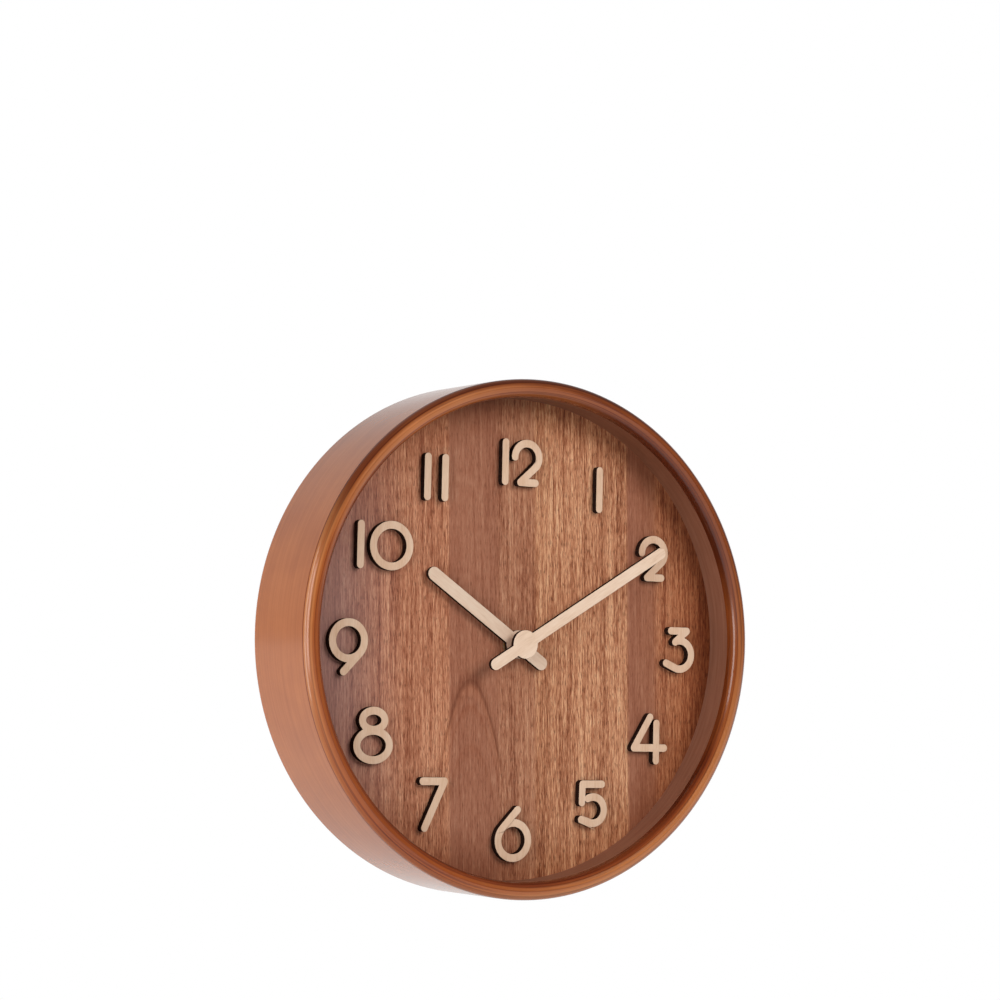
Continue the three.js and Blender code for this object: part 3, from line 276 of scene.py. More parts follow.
case_outline = [(RING_MIDDLE.x + r, y, RING_MIDDLE.z) for r, y in (
    (RING_INSIDE, ring_low.y), (RING_RADIUS, ring_low.y), (RING_RADIUS, ring_low.y + FRONT_ROUNDING + FLAT_MARGIN),
    (RING_RADIUS, ring_high.y - BACK_ROUNDING - FLAT_MARGIN), (RING_RADIUS, ring_high.y),
    (REBATE_RADIUS, ring_high.y), (REBATE_RADIUS, dial_low.y), (LINING_RADIUS, dial_low.y),
    (LINING_RADIUS, LIP_END), (RING_INSIDE, LIP_END))]
shape = spun(case_outline, RING_MIDDLE, (0, 1, 0), CASE_TURNS, closed=True)
bmesh.ops.bevel(shape, geom=hoop(shape, RING_INSIDE, ring_low.y) + hoop(shape, RING_RADIUS, ring_low.y),
                offset=FRONT_ROUNDING, segments=10, profile=0.5, affect="EDGES", material=-1)
bmesh.ops.bevel(shape, geom=hoop(shape, RING_RADIUS, ring_high.y) + hoop(shape, REBATE_RADIUS, ring_high.y),
                offset=BACK_ROUNDING, segments=3, profile=0.5, affect="EDGES", material=-1)
for face in shape.faces:
    face.smooth = True
    middle = face.calc_center_median()
    inside = from_ring_axis(middle) < REBATE_RADIUS + 0.1 * MM
    if inside and middle.y > dial_low.y + BACK_ROUNDING:
        face.material_index = 1
    elif inside and middle.y > LIP_END + BACK_ROUNDING:
        face.material_index = 2
bent_case = piece("bent_plywood_case", shape, plywood, bare_plywood, lining)
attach(bent_case, "clock")
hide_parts("case_ring")


# Dial: a disc of hardboard faced with sliced walnut veneer, the grain upright, glued into the rebate from behind.
# A clearance hole for the movement's bush is drilled a little below the middle.
nut_low, nut_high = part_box("centre_nut")
ARBOR = (nut_low + nut_high) / 2
bush_low, bush_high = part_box("threaded_bush")
BUSH_PLAY = 0.15 * MM
BUSH_HOLE = (bush_high.x - bush_low.x) / 2 + BUSH_PLAY
DIAL_RADIUS = (dial_high.x - dial_low.x) / 2
GRAIN_LEAN = math.radians(1.7)

# Walnut veneer: leaves laid side by side, some plain and purplish, some full of short golden streaks and dark pores
# that run up the dial. A slight ripple sways the streaks, and one leaf carries the arches of a flat-sliced board.
walnut = new_finish("sliced_walnut_veneer")
place = add(walnut, "ShaderNodeTexCoord", {})["Object"]
in_mm = add(walnut, "ShaderNodeMapping", {
    "Vector": place, "Scale": (MM_PER_M,) * 3, "Location": (0, 0, -MM_PER_M * ARBOR.z)})[0]
upright = add(walnut, "ShaderNodeMapping", {"Vector": in_mm, "Rotation": (0, GRAIN_LEAN, 0)})[0]
split = add(walnut, "ShaderNodeSeparateXYZ", {0: upright})
# The ripple sways the grain sideways by up to half a millimetre every 15 mm or so.
ripple_place = add(walnut, "ShaderNodeMapping", {"Vector": upright, "Scale": (1 / 16, 0, 1 / 14)})[0]
ripple = add(walnut, "ShaderNodeTexNoise", {
    "Vector": ripple_place, "Scale": 1.0, "Detail": 1.0, "Roughness": 0.5})["Fac"]
sway = add(walnut, "ShaderNodeMath", {0: ripple, 1: 0.9, 2: split["X"]}, operation="MULTIPLY_ADD")[0]
swayed = add(walnut, "ShaderNodeCombineXYZ", {"X": sway, "Z": split["Z"]})[0]
# Fibres are 0.45 mm apart and 6 mm long, streaks 1.1 and 45 mm, tone bands 4 and 130 mm, pores 0.42 and 3 mm.
figure = []
for width, length, start, detail, roughness in (
        (0.45, 6, (0, 0, 0), 4.0, 0.68), (1.1, 45, (31, 0, 7), 3.0, 0.65),
        (4, 130, (12, 0, 3), 2.0, 0.5), (0.42, 3, (5, 0, 19), 1.0, 0.5)):
    drawn_out = add(walnut, "ShaderNodeMapping", {
        "Vector": swayed, "Scale": (1 / width, 0, 1 / length), "Location": start})[0]
    figure.append(add(walnut, "ShaderNodeTexNoise", {
        "Vector": drawn_out, "Scale": 1.0, "Detail": detail, "Roughness": roughness})["Fac"])
fibres, streaks, bands, pores = figure
# How strongly each leaf is figured, and its tone, from the left rim to the right. The tone darkens at both rims
# as painted shade of the lip beside them.
VENEER_REACH = 104
over_dial = add(walnut, "ShaderNodeMapRange", {
    "Value": split["X"], "From Min": -VENEER_REACH, "From Max": VENEER_REACH})[0]
leaf_tone_and_rim_shade = add(walnut, "ShaderNodeValToRGB", {"Fac": over_dial}, stops=[
    (0.0, "#CCCEE4"), (0.1, "#E2DFEE"), (0.2, "#F4EBF1"), (0.343, "#F4EAEC"), (0.347, "#D6CBD4"), (0.455, "#D7CFD8"),
    (0.47, "#E0DAE0"), (0.549, "#E4DEE1"), (0.553, "#F6F4F2"), (0.64, "#FFFFFF"), (0.779, "#FFFFFF"),
    (0.783, "#CFC4CD"), (0.845, "#D0C3C6"), (0.86, "#E4D3CB"), (0.92, "#DEC8BA"), (1.0, "#B3896E")])[0]
leaf_figure = add(walnut, "ShaderNodeValToRGB", {"Fac": over_dial}, stops=[
    (0.0, "#D0D0D0"), (0.2, "#F0F0F0"), (0.343, "#F4F4F4"), (0.347, "#AEAEAE"), (0.455, "#B4B4B4"), (0.47, "#E8E8E8"),
    (0.549, "#E8E8E8"), (0.553, "#FFFFFF"), (0.779, "#FFFFFF"), (0.783, "#9A9A9A"), (0.845, "#A6A6A6"),
    (0.86, "#F0F0F0")])[0]
fine_and_long = add(walnut, "ShaderNodeMix", {0: 0.38, 2: fibres, 3: streaks}, data_type="FLOAT")[0]
with_bands = add(walnut, "ShaderNodeMix", {0: 0.22, 2: fine_and_long, 3: bands}, data_type="FLOAT")[0]
above_mean = add(walnut, "ShaderNodeMath", {0: with_bands, 1: 0.5}, operation="SUBTRACT")[0]
figured = add(walnut, "ShaderNodeMath", {0: above_mean, 1: leaf_figure, 2: 0.5}, operation="MULTIPLY_ADD")[0]
wood = add(walnut, "ShaderNodeValToRGB", {"Fac": figured}, stops=[
    (0.38, "#5A2E1C"), (0.44, "#8D5338"), (0.5, "#B57B5A"), (0.555, "#CE9873"), (0.62, "#E3B48E")])[0]
pore_share = add(walnut, "ShaderNodeMapRange", {
    "Value": pores, "From Min": 0.57, "From Max": 0.63, "To Max": 0.55})[0]
pore_depth = add(walnut, "ShaderNodeMath", {0: pore_share, 1: leaf_figure}, operation="MULTIPLY")[0]
pored = add(walnut, "ShaderNodeMix", {0: pore_depth, 6: wood, 7: linear("#55301F")}, data_type="RGBA")[2]
# The palest fibres turn golden, most of all in the leaves right of the first.
gold_share = add(walnut, "ShaderNodeMapRange", {
    "Value": fine_and_long, "From Min": 0.54, "From Max": 0.64, "To Max": 0.5})[0]
gold_leaves = add(walnut, "ShaderNodeMapRange", {
    "Value": over_dial, "From Min": 0.3, "From Max": 0.36, "To Min": 0.3, "To Max": 1.0})[0]
gold_there = add(walnut, "ShaderNodeMath", {0: gold_share, 1: gold_leaves}, operation="MULTIPLY")[0]
gold_depth = add(walnut, "ShaderNodeMath", {0: gold_there, 1: leaf_figure}, operation="MULTIPLY")[0]
gilded = add(walnut, "ShaderNodeMix", {0: gold_depth, 6: pored, 7: linear("#DDB08A")}, data_type="RGBA")[2]
leaf_toned_and_shaded = add(walnut, "ShaderNodeMix", {0: 1.0, 6: gilded, 7: leaf_tone_and_rim_shade}, **TINT)[2]
# Purplish grey clouds the leaf at the left rim: partly the heartwood's own tone, partly painted shade of the lip
# beside it.
heartwood_and_shade = add(walnut, "ShaderNodeMapRange", {
    "Value": over_dial, "From Min": 0.04, "From Max": 0.24, "To Min": 0.5, "To Max": 0.0})[0]
toned = add(walnut, "ShaderNodeMix", {0: heartwood_and_shade, 6: leaf_toned_and_shaded, 7: linear("#957A7C")}, data_type="RGBA")[2]
# Arches: rings of equal growth are parabolas in the flat-sliced leaf, their points 21.5 mm left of the arbor.
ARCH_MIDDLE = -21.5
ARCH_BEND = 0.165
ARCH_FOOT, ARCH_TOP = -78, -8
ARCH_EDGE, ARCH_END = 12, 19
from_arch = add(walnut, "ShaderNodeMath", {0: sway, 1: -ARCH_MIDDLE}, operation="ADD")[0]
arch_square = add(walnut, "ShaderNodeMath", {0: from_arch, 1: from_arch}, operation="MULTIPLY")[0]
arch_rise = add(walnut, "ShaderNodeMath", {0: arch_square, 1: ARCH_BEND, 2: split["Z"]}, operation="MULTIPLY_ADD")[0]
arch_level = add(walnut, "ShaderNodeMapRange", {"Value": arch_rise, "From Min": ARCH_FOOT, "From Max": ARCH_TOP})[0]
arches = add(walnut, "ShaderNodeValToRGB", {"Fac": arch_level}, stops=[
    (0.0, "#FFFFFF"), (0.42, "#FFFFFF"), (0.5, "#F4ECE7"), (0.53, "#FFFFFF"), (0.68, "#FFFFFF"), (0.74, "#F4EAE4"),
    (0.77, "#FFFFFF"), (0.85, "#FFFAF4"), (0.882, "#D8CBC5"), (0.9, "#CBBDB6"), (0.915, "#E2D8D3"), (0.96, "#F4F0ED"),
    (1.0, "#FFFFFF")])[0]
beside_arch = add(walnut, "ShaderNodeMath", {0: from_arch}, operation="ABSOLUTE")[0]
near_arch = add(walnut, "ShaderNodeMapRange", {
    "Value": beside_arch, "From Min": ARCH_EDGE, "From Max": ARCH_END, "To Min": 1.0, "To Max": 0.0})[0]
arched = add(walnut, "ShaderNodeMix", {0: near_arch, 6: toned, 7: arches}, **TINT)[2]
# Painted shade: the veneer darkens along the rim, where the lip shades the recess, from 84 mm off the middle to its
# full strength at 100 mm.
from_middle = add(walnut, "ShaderNodeMapping", {
    "Vector": place, "Scale": (MM_PER_M, 0, MM_PER_M), "Location": (0, 0, -MM_PER_M * RING_MIDDLE.z)})[0]
dial_radius = add(walnut, "ShaderNodeVectorMath", {0: from_middle}, operation="LENGTH")["Value"]
rim_shade_share = add(walnut, "ShaderNodeMapRange", {"Value": dial_radius, "From Min": 84, "From Max": 100})[0]
rim_shaded = add(walnut, "ShaderNodeMix", {0: rim_shade_share, 6: arched, 7: linear("#EADED3")}, **TINT)[2]
sheen = add(walnut, "ShaderNodeMapRange", {"Value": fibres, "To Min": 0.48, "To Max": 0.62})[0]
relief = add(walnut, "ShaderNodeBump", {"Height": fibres, "Strength": 0.1, "Distance": 0.1 * MM})[0]
surface = add(walnut, "ShaderNodeBsdfPrincipled", {
    "Base Color": rim_shaded, "Roughness": sheen, "Normal": relief, "IOR": 1.5, "Specular IOR Level": 0.2})[0]
add(walnut, "ShaderNodeOutputMaterial", {"Surface": surface})

# Hardboard: pressed brown fibre, smooth but mottled, with pale fibres 1 mm long lying every way.
hardboard = new_finish("pressed_brown_hardboard")
place = add(hardboard, "ShaderNodeTexCoord", {})["Object"]
fibres = add(hardboard, "ShaderNodeTexNoise", {
    "Vector": place, "Scale": 900.0, "Detail": 4.0, "Roughness": 0.7, "Distortion": 1.5})["Fac"]
clouds = add(hardboard, "ShaderNodeTexNoise", {"Vector": place, "Scale": 60.0, "Detail": 3.0})["Fac"]
mixed = add(hardboard, "ShaderNodeMix", {0: 0.4, 2: fibres, 3: clouds}, data_type="FLOAT")[0]
brown = add(hardboard, "ShaderNodeValToRGB", {"Fac": mixed}, stops=[
    (0.3, "#573A28"), (0.5, "#6F4D37"), (0.7, "#8A6549")])[0]
relief = add(hardboard, "ShaderNodeBump", {"Height": fibres, "Strength": 0.25, "Distance": 0.15 * MM})[0]
surface = add(hardboard, "ShaderNodeBsdfPrincipled", {"Base Color": brown, "Roughness": 0.7, "Normal": relief})[0]
add(hardboard, "ShaderNodeOutputMaterial", {"Surface": surface})

shape = bmesh.new()
facing = Matrix.Rotation(math.pi / 2, 4, "X")
bmesh.ops.create_circle(shape, segments=CASE_TURNS, radius=DIAL_RADIUS,
                        matrix=Matrix.Translation((RING_MIDDLE.x, dial_low.y, RING_MIDDLE.z)) @ facing)
bmesh.ops.create_circle(shape, segments=CASE_TURNS, radius=BUSH_HOLE,
                        matrix=Matrix.Translation((ARBOR.x, dial_low.y, ARBOR.z)) @ facing)
bmesh.ops.bridge_loops(shape, edges=shape.edges[:])
grown = bmesh.ops.extrude_face_region(shape, geom=shape.faces[:])["geom"]
bmesh.ops.translate(shape, verts=[g for g in grown if isinstance(g, bmesh.types.BMVert)],
                    vec=(0, dial_high.y - dial_low.y, 0))
bmesh.ops.recalc_face_normals(shape, faces=shape.faces)
for face in shape.faces:
    face.material_index = 0 if face.normal.y < -0.5 else 1
    face.smooth = abs(face.normal.y) < 0.5
veneered_dial = piece("veneered_dial", shape, walnut, hardboard)
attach(veneered_dial, "clock")
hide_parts("dial_board")


# Numerals: cut by laser from 3 mm pale beech board and glued to the veneer. The cut leaves the edges burnt
# nearly black and the front corners very slightly eased by sanding.
EASED_CORNER = 0.22 * MM
CUT_EDGE = math.radians(60)
FLAT_WITHIN = math.radians(0.4)
# Painted shade: the numerals' tones are darker than the hands', for the shade they lie in low in the recess.
SHADED_NUMERAL_TONES = ("#C6A183", "#D2AF93", "#D9BAA0", "#E0C4AC")


def traced(node):
    """A copy of a solid's mesh with its points joined and its flat faces whole."""
    shape = bmesh.new()
    shape.from_mesh(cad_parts[node].data)
    bmesh.ops.remove_doubles(shape, verts=shape.verts, dist=SAME_POINT)
    bmesh.ops.dissolve_limit(shape, angle_limit=FLAT_WITHIN, verts=shape.verts, edges=shape.edges)
    return shape


def cut_from_board(name, node, face_finish, edge_finish):
    """A flat solid as a sawn piece: its front corners eased, its cut edges in a finish of their own."""
    shape = traced(node)
    front = min(v.co.y for v in shape.verts)
    corners = [e for e in shape.edges if all(v.co.y < front + SAME_POINT for v in e.verts)
               and e.calc_face_angle(0) > CUT_EDGE]
    bmesh.ops.bevel(shape, geom=corners, offset=EASED_CORNER, segments=2, profile=0.5, affect="EDGES", material=-1)
    for face in shape.faces:
        face.material_index = 0 if abs(face.normal.y) > 0.5 else 1
        face.smooth = abs(face.normal.y) < 0.99
    return piece(name, shape, face_finish, edge_finish)


def pale_beech(name, lean, tones):
    """Beech: straight, close grain in the direction that lean gives, with short darker ray flecks
    and soft cloudy tones."""
    finish = new_finish(name)
    place = add(finish, "ShaderNodeTexCoord", {})["Object"]
    in_mm = add(finish, "ShaderNodeMapping", {
        "Vector": place, "Scale": (MM_PER_M,) * 3, "Location": (0, 0, -MM_PER_M * ARBOR.z)})[0]
    along = add(finish, "ShaderNodeMapping", {"Vector": in_mm, "Rotation": (0, lean, 0)})[0]
    # Flecks are drawn 0.6 mm wide and 4.5 mm long, twice the real size, so that they show.
    flecks = add(finish, "ShaderNodeTexNoise", {
        "Vector": add(finish, "ShaderNodeMapping", {"Vector": along, "Scale": (1 / 0.6, 1, 1 / 4.5)})[0],
        "Scale": 1.0, "Detail": 3.0, "Roughness": 0.6})["Fac"]
    clouds = add(finish, "ShaderNodeTexNoise", {
        "Vector": add(finish, "ShaderNodeMapping", {"Vector": along, "Scale": (1 / 5, 1 / 5, 1 / 20)})[0],
        "Scale": 1.0, "Detail": 2.0})["Fac"]
    tone = add(finish, "ShaderNodeMix", {0: 0.5, 2: flecks, 3: clouds}, data_type="FLOAT")[0]
    beech = add(finish, "ShaderNodeValToRGB", {"Fac": tone}, stops=zip((0.3, 0.45, 0.6, 0.75), tones))[0]
    relief = add(finish, "ShaderNodeBump", {"Height": flecks, "Strength": 0.12, "Distance": 0.1 * MM})[0]
    surface = add(finish, "ShaderNodeBsdfPrincipled", {"Base Color": beech, "Roughness": 0.62, "Normal": relief})[0]
    add(finish, "ShaderNodeOutputMaterial", {"Surface": surface})
    return finish


# Burnt edge: charred brown-black and matt, with faint marks 0.7 mm apart left by the beam.
burnt_edge = new_finish("laser_burnt_beech_edge")
place = add(burnt_edge, "ShaderNodeTexCoord", {})["Object"]
char = add(burnt_edge, "ShaderNodeTexNoise", {
    "Vector": add(burnt_edge, "ShaderNodeMapping", {"Vector": place, "Scale": (1400, 300, 1400)})[0],
    "Scale": 1.0, "Detail": 3.0, "Roughness": 0.6})["Fac"]
charred = add(burnt_edge, "ShaderNodeValToRGB", {"Fac": char}, stops=[
    (0.3, "#150803"), (0.55, "#231008"), (0.75, "#3E2114")])[0]
relief = add(burnt_edge, "ShaderNodeBump", {"Height": char, "Strength": 0.3, "Distance": 0.1 * MM})[0]
surface = add(burnt_edge, "ShaderNodeBsdfPrincipled", {
    "Base Color": charred, "Roughness": 0.85, "Normal": relief, "Specular IOR Level": 0.15})[0]
add(burnt_edge, "ShaderNodeOutputMaterial", {"Surface": surface})

numeral_beech = pale_beech("sanded_pale_beech", 0.0, SHADED_NUMERAL_TONES)
for node in sorted(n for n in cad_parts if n.startswith("numeral_")):
    numeral = cut_from_board("beech_" + node, node, numeral_beech, burnt_edge)
    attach(numeral, "clock")
    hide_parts(node)


# Hanger: a strip of zinc-plated steel, pierced with a keyhole for a nail and folded back off the dial.
# The bush passes through its foot and the movement clamps it to the dial.
FOLD_ROUNDING = 0.25 * MM
MOULD_EDGE = math.radians(55)
SMALL_FACE = 20 * MM * MM


def moulded(name, node, rounding, finish, outer_only=True):
    """A solid as it leaves the tool, with its corners rounded, or only those that face outward."""
    shape = traced(node)
    low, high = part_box(node)
    middle = (low + high) / 2
    corners = []
    for edge in shape.edges:
        if len(edge.link_faces) == 2 and edge.calc_face_angle(0) > MOULD_EDGE:
            walls = [f for f in edge.link_faces if abs(f.normal.y) < 0.5]
            away = [f.normal.dot(f.calc_center_median() - middle) > 0 for f in walls]
            if edge.is_convex and (not outer_only or (walls and all(away))):
                corners.append(edge)
    bmesh.ops.bevel(shape, geom=corners, offset=rounding, segments=2, profile=0.5, affect="EDGES",
                    material=-1, clamp_overlap=True)
    for face in shape.faces:
        face.smooth = face.calc_area() < SMALL_FACE or abs(face.normal.y) < 0.5
    return piece(name, shape, finish)


# Zinc plate: bright bluish-grey metal with a crystalline mottle 1.4 mm across and drawing lines 0.4 mm apart.
zinc_steel = new_finish("zinc_plated_pressed_steel")
place = add(zinc_steel, "ShaderNodeTexCoord", {})["Object"]
mottle = add(zinc_steel, "ShaderNodeTexVoronoi", {"Vector": place, "Scale": 700.0})["Distance"]
drawn = add(zinc_steel, "ShaderNodeTexNoise", {
    "Vector": add(zinc_steel, "ShaderNodeMapping", {"Vector": place, "Scale": (2500, 300, 120)})[0],
    "Scale": 1.0, "Detail": 2.0})["Fac"]
wear = add(zinc_steel, "ShaderNodeMix", {0: 0.6, 2: mottle, 3: drawn}, data_type="FLOAT")[0]
plate = add(zinc_steel, "ShaderNodeValToRGB", {"Fac": wear}, stops=[
    (0.2, "#A9ADB1"), (0.5, "#BFC2C4"), (0.8, "#D2D3D2")])[0]
sheen = add(zinc_steel, "ShaderNodeMapRange", {"Value": wear, "To Min": 0.26, "To Max": 0.5})[0]
relief = add(zinc_steel, "ShaderNodeBump", {"Height": drawn, "Strength": 0.08, "Distance": 0.05 * MM})[0]
surface = add(zinc_steel, "ShaderNodeBsdfPrincipled", {
    "Base Color": plate, "Metallic": 1.0, "Roughness": sheen, "Normal": relief})[0]
add(zinc_steel, "ShaderNodeOutputMaterial", {"Surface": surface})

pressed_hanger = moulded("pressed_steel_hanger", "hanger", FOLD_ROUNDING, zinc_steel, outer_only=False)
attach(pressed_hanger, "clock")
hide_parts("hanger")


# Movement housing and its snap-on cover: black ABS injection mouldings that hold the train, the motor and the cell.
# Their outside is spark-eroded to a fine matt texture, with corners rounded by the mould.
ABS_CORNER = 0.45 * MM

# Black ABS: near-black with a fine matt texture, its gloss broken by pits and its tone by a faint haze.
# The eroded texture's 0.1 mm pits are drawn 0.35 mm across so that they show.
black_abs = new_finish("textured_black_abs_moulding")
place = add(black_abs, "ShaderNodeTexCoord", {})["Object"]
pits = add(black_abs, "ShaderNodeTexNoise", {
    "Vector": place, "Scale": 2800.0, "Detail": 2.0, "Roughness": 0.6})["Fac"]
haze = add(black_abs, "ShaderNodeTexNoise", {"Vector": place, "Scale": 90.0, "Detail": 3.0})["Fac"]
black = add(black_abs, "ShaderNodeValToRGB", {"Fac": haze}, stops=[(0.3, "#171718"), (0.7, "#222223")])[0]
sheen = add(black_abs, "ShaderNodeMapRange", {"Value": pits, "To Min": 0.42, "To Max": 0.66})[0]
relief = add(black_abs, "ShaderNodeBump", {"Height": pits, "Strength": 0.35, "Distance": 0.12 * MM})[0]
surface = add(black_abs, "ShaderNodeBsdfPrincipled", {
    "Base Color": black, "Roughness": sheen, "Normal": relief, "IOR": 1.54})[0]
add(black_abs, "ShaderNodeOutputMaterial", {"Surface": surface})

for name, node in (("moulded_housing", "movement_case"), ("moulded_cover", "movement_cover")):
    moulding = moulded(name, node, ABS_CORNER, black_abs)
    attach(moulding, "clock")
    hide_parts(node)


# Polarity marks: a plus and a minus raised on the cover beside the two ends of the cell, moulded with it
# in the same black ABS. They stand a quarter of a millimetre proud, with softened corners.
COVER_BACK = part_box("movement_cover")[1].y
MARK_ASIDE = 20 * MM
MARK_HEIGHT = ARBOR.z - 9.5 * MM
MARK_RISE = 0.25 * MM
MARK_BAR = 0.9 * MM
MARK_REACH = 1.5 * MM
MARK_CORNER = 0.08 * MM
for name, side, reach_up in (("plus_mark", 1, True), ("minus_mark", -1, False)):
    shape = bmesh.new()
    bmesh.ops.create_cube(shape, size=1.0, matrix=Matrix.Diagonal((MARK_BAR, MARK_RISE, MARK_BAR, 1)))
    arms = [f for f in shape.faces if abs(f.normal.x) > 0.5 or (reach_up and abs(f.normal.z) > 0.5)]
    for arm in bmesh.ops.extrude_discrete_faces(shape, faces=arms)["faces"]:
        bmesh.ops.translate(shape, verts=arm.verts, vec=arm.normal * MARK_REACH)
    bmesh.ops.recalc_face_normals(shape, faces=shape.faces)
    raised = [e for e in shape.edges if all(v.co.y > 0 for v in e.verts) and e.calc_face_angle(0) > CUT_EDGE]
    bmesh.ops.bevel(shape, geom=raised, offset=MARK_CORNER, segments=2, profile=0.5, affect="EDGES", material=-1)
    bmesh.ops.translate(shape, verts=shape.verts, vec=(side * MARK_ASIDE, COVER_BACK + MARK_RISE / 2, MARK_HEIGHT))
    mark = piece(name, shape, black_abs)
    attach(mark, "clock")


# Fixing: a brass bush with a cut thread stands through the dial, with a rubber gasket behind, and a steel washer
# and brass nut in front.
NUT_CORNER = 0.2 * MM


def dress(finish, *nodes):
    """Gives solids that are shown as they are their finish."""
    for node in nodes:
        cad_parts[node].material_slots[0].material = finish


# Turned brass: warm yellow metal with turning rings 0.25 mm apart about the arbor and slight dull patches.
brass = new_finish("turned_brass")
place = add(brass, "ShaderNodeTexCoord", {})["Object"]
about_arbor = add(brass, "ShaderNodeMapping", {"Vector": place, "Location": -ARBOR})[0]
across = add(brass, "ShaderNodeVectorMath", {0: about_arbor, 1: (1, 0, 1)}, operation="MULTIPLY")[0]
radius = add(brass, "ShaderNodeVectorMath", {0: across}, operation="LENGTH")["Value"]
rings = add(brass, "ShaderNodeTexNoise", {"W": radius, "Scale": 4000.0, "Detail": 2.0}, noise_dimensions="1D")["Fac"]
dull = add(brass, "ShaderNodeTexNoise", {"Vector": place, "Scale": 400.0, "Detail": 3.0})["Fac"]
metal = add(brass, "ShaderNodeValToRGB", {"Fac": dull}, stops=[
    (0.3, "#A98543"), (0.5, "#BE9A53"), (0.7, "#D0AE68")])[0]
sheen = add(brass, "ShaderNodeMapRange", {"Value": dull, "To Min": 0.22, "To Max": 0.42})[0]
relief = add(brass, "ShaderNodeBump", {"Height": rings, "Strength": 0.15, "Distance": 0.03 * MM})[0]
surface = add(brass, "ShaderNodeBsdfPrincipled", {
    "Base Color": metal, "Metallic": 1.0, "Roughness": sheen, "Normal": relief})[0]
add(brass, "ShaderNodeOutputMaterial", {"Surface": surface})

# Rubber: soft black with a dusty, slightly uneven surface.
black_rubber = new_finish("moulded_black_rubber")
place = add(black_rubber, "ShaderNodeTexCoord", {})["Object"]
dust = add(black_rubber, "ShaderNodeTexNoise", {"Vector": place, "Scale": 1200.0, "Detail": 3.0})["Fac"]
black = add(black_rubber, "ShaderNodeValToRGB", {"Fac": dust}, stops=[(0.3, "#131313"), (0.7, "#242322")])[0]
relief = add(black_rubber, "ShaderNodeBump", {"Height": dust, "Strength": 0.2, "Distance": 0.1 * MM})[0]
surface = add(black_rubber, "ShaderNodeBsdfPrincipled", {"Base Color": black, "Roughness": 0.85, "Normal": relief})[0]
add(black_rubber, "ShaderNodeOutputMaterial", {"Surface": surface})

hex_nut = moulded("brass_hex_nut", "centre_nut", NUT_CORNER, brass)
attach(hex_nut, "clock")
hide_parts("centre_nut")
dress(zinc_steel, "nut_washer")
dress(black_rubber, "gasket")
dress(brass, "threaded_bush")


# Going train: wheels and pinions moulded in acetal, turning on their own pivots between housing and cover,
# with the minute arbor through the middle and a steel spring clutch under the centre wheel.

# Acetal: waxy off-white with a smooth moulded skin and faint flow marks 4 mm apart.
white_acetal = new_finish("moulded_white_acetal")
place = add(white_acetal, "ShaderNodeTexCoord", {})["Object"]
flow = add(white_acetal, "ShaderNodeTexNoise", {
    "Vector": place, "Scale": 250.0, "Detail": 3.0, "Distortion": 1.0})["Fac"]
milky = add(white_acetal, "ShaderNodeValToRGB", {"Fac": flow}, stops=[(0.3, "#DAD7CB"), (0.7, "#EAE7DD")])[0]
sheen = add(white_acetal, "ShaderNodeMapRange", {"Value": flow, "To Min": 0.3, "To Max": 0.45})[0]
surface = add(white_acetal, "ShaderNodeBsdfPrincipled", {"Base Color": milky, "Roughness": sheen, "IOR": 1.48})[0]
add(white_acetal, "ShaderNodeOutputMaterial", {"Surface": surface})

dress(white_acetal, "hour_wheel", "reverse_wheel", "setting_stem", "centre_wheel", "third_wheel", "second_wheel",
      "intermediate_wheel", "rotor_pinion")
dress(brass, "minute_arbor")
dress(zinc_steel, "clutch_spring")


# Stepping motor: a sintered magnet on the rotor, a stator of stamped soft iron, and a coil of enamelled wire
# on an acetal bobbin, whose core bridges the stator's two arms.

# Sintered magnet: dark grey and grainy, with bright specks 0.3 mm across.
magnet = new_finish("sintered_magnet")
place = add(magnet, "ShaderNodeTexCoord", {})["Object"]
specks = add(magnet, "ShaderNodeTexNoise", {"Vector": place, "Scale": 3000.0, "Detail": 2.0})["Fac"]
grey = add(magnet, "ShaderNodeValToRGB", {"Fac": specks}, stops=[
    (0.3, "#37373A"), (0.6, "#4B4B4E"), (0.75, "#77777A")])[0]
surface = add(magnet, "ShaderNodeBsdfPrincipled", {"Base Color": grey, "Metallic": 1.0, "Roughness": 0.55})[0]
add(magnet, "ShaderNodeOutputMaterial", {"Surface": surface})

# Enamelled wire: copper turns lying side by side round the coil. The real 0.03 mm wire is drawn 0.3 mm thick.
copper_wire = new_finish("wound_enamelled_copper_wire")
place = add(copper_wire, "ShaderNodeTexCoord", {})["Object"]
turns = add(copper_wire, "ShaderNodeTexWave", {
    "Vector": place, "Scale": 1050.0, "Distortion": 0.6, "Detail": 1.0}, bands_direction="X")["Fac"]
copper = add(copper_wire, "ShaderNodeValToRGB", {"Fac": turns}, stops=[
    (0.0, "#7A3F20"), (0.5, "#B0683A"), (1.0, "#CE8A55")])[0]
relief = add(copper_wire, "ShaderNodeBump", {"Height": turns, "Strength": 0.6, "Distance": 0.1 * MM})[0]
surface = add(copper_wire, "ShaderNodeBsdfPrincipled", {
    "Base Color": copper, "Metallic": 1.0, "Roughness": 0.32, "Normal": relief})[0]
add(copper_wire, "ShaderNodeOutputMaterial", {"Surface": surface})

dress(magnet, "rotor_magnet")
dress(zinc_steel, "stator", "coil_core")
dress(white_acetal, "coil_bobbin")
dress(copper_wire, "coil_winding")


# Circuit: a small glass-fibre board under green solder mask, carrying a black resin blob and a crystal can.
# It is held inside the housing and pulses the coil once a second.

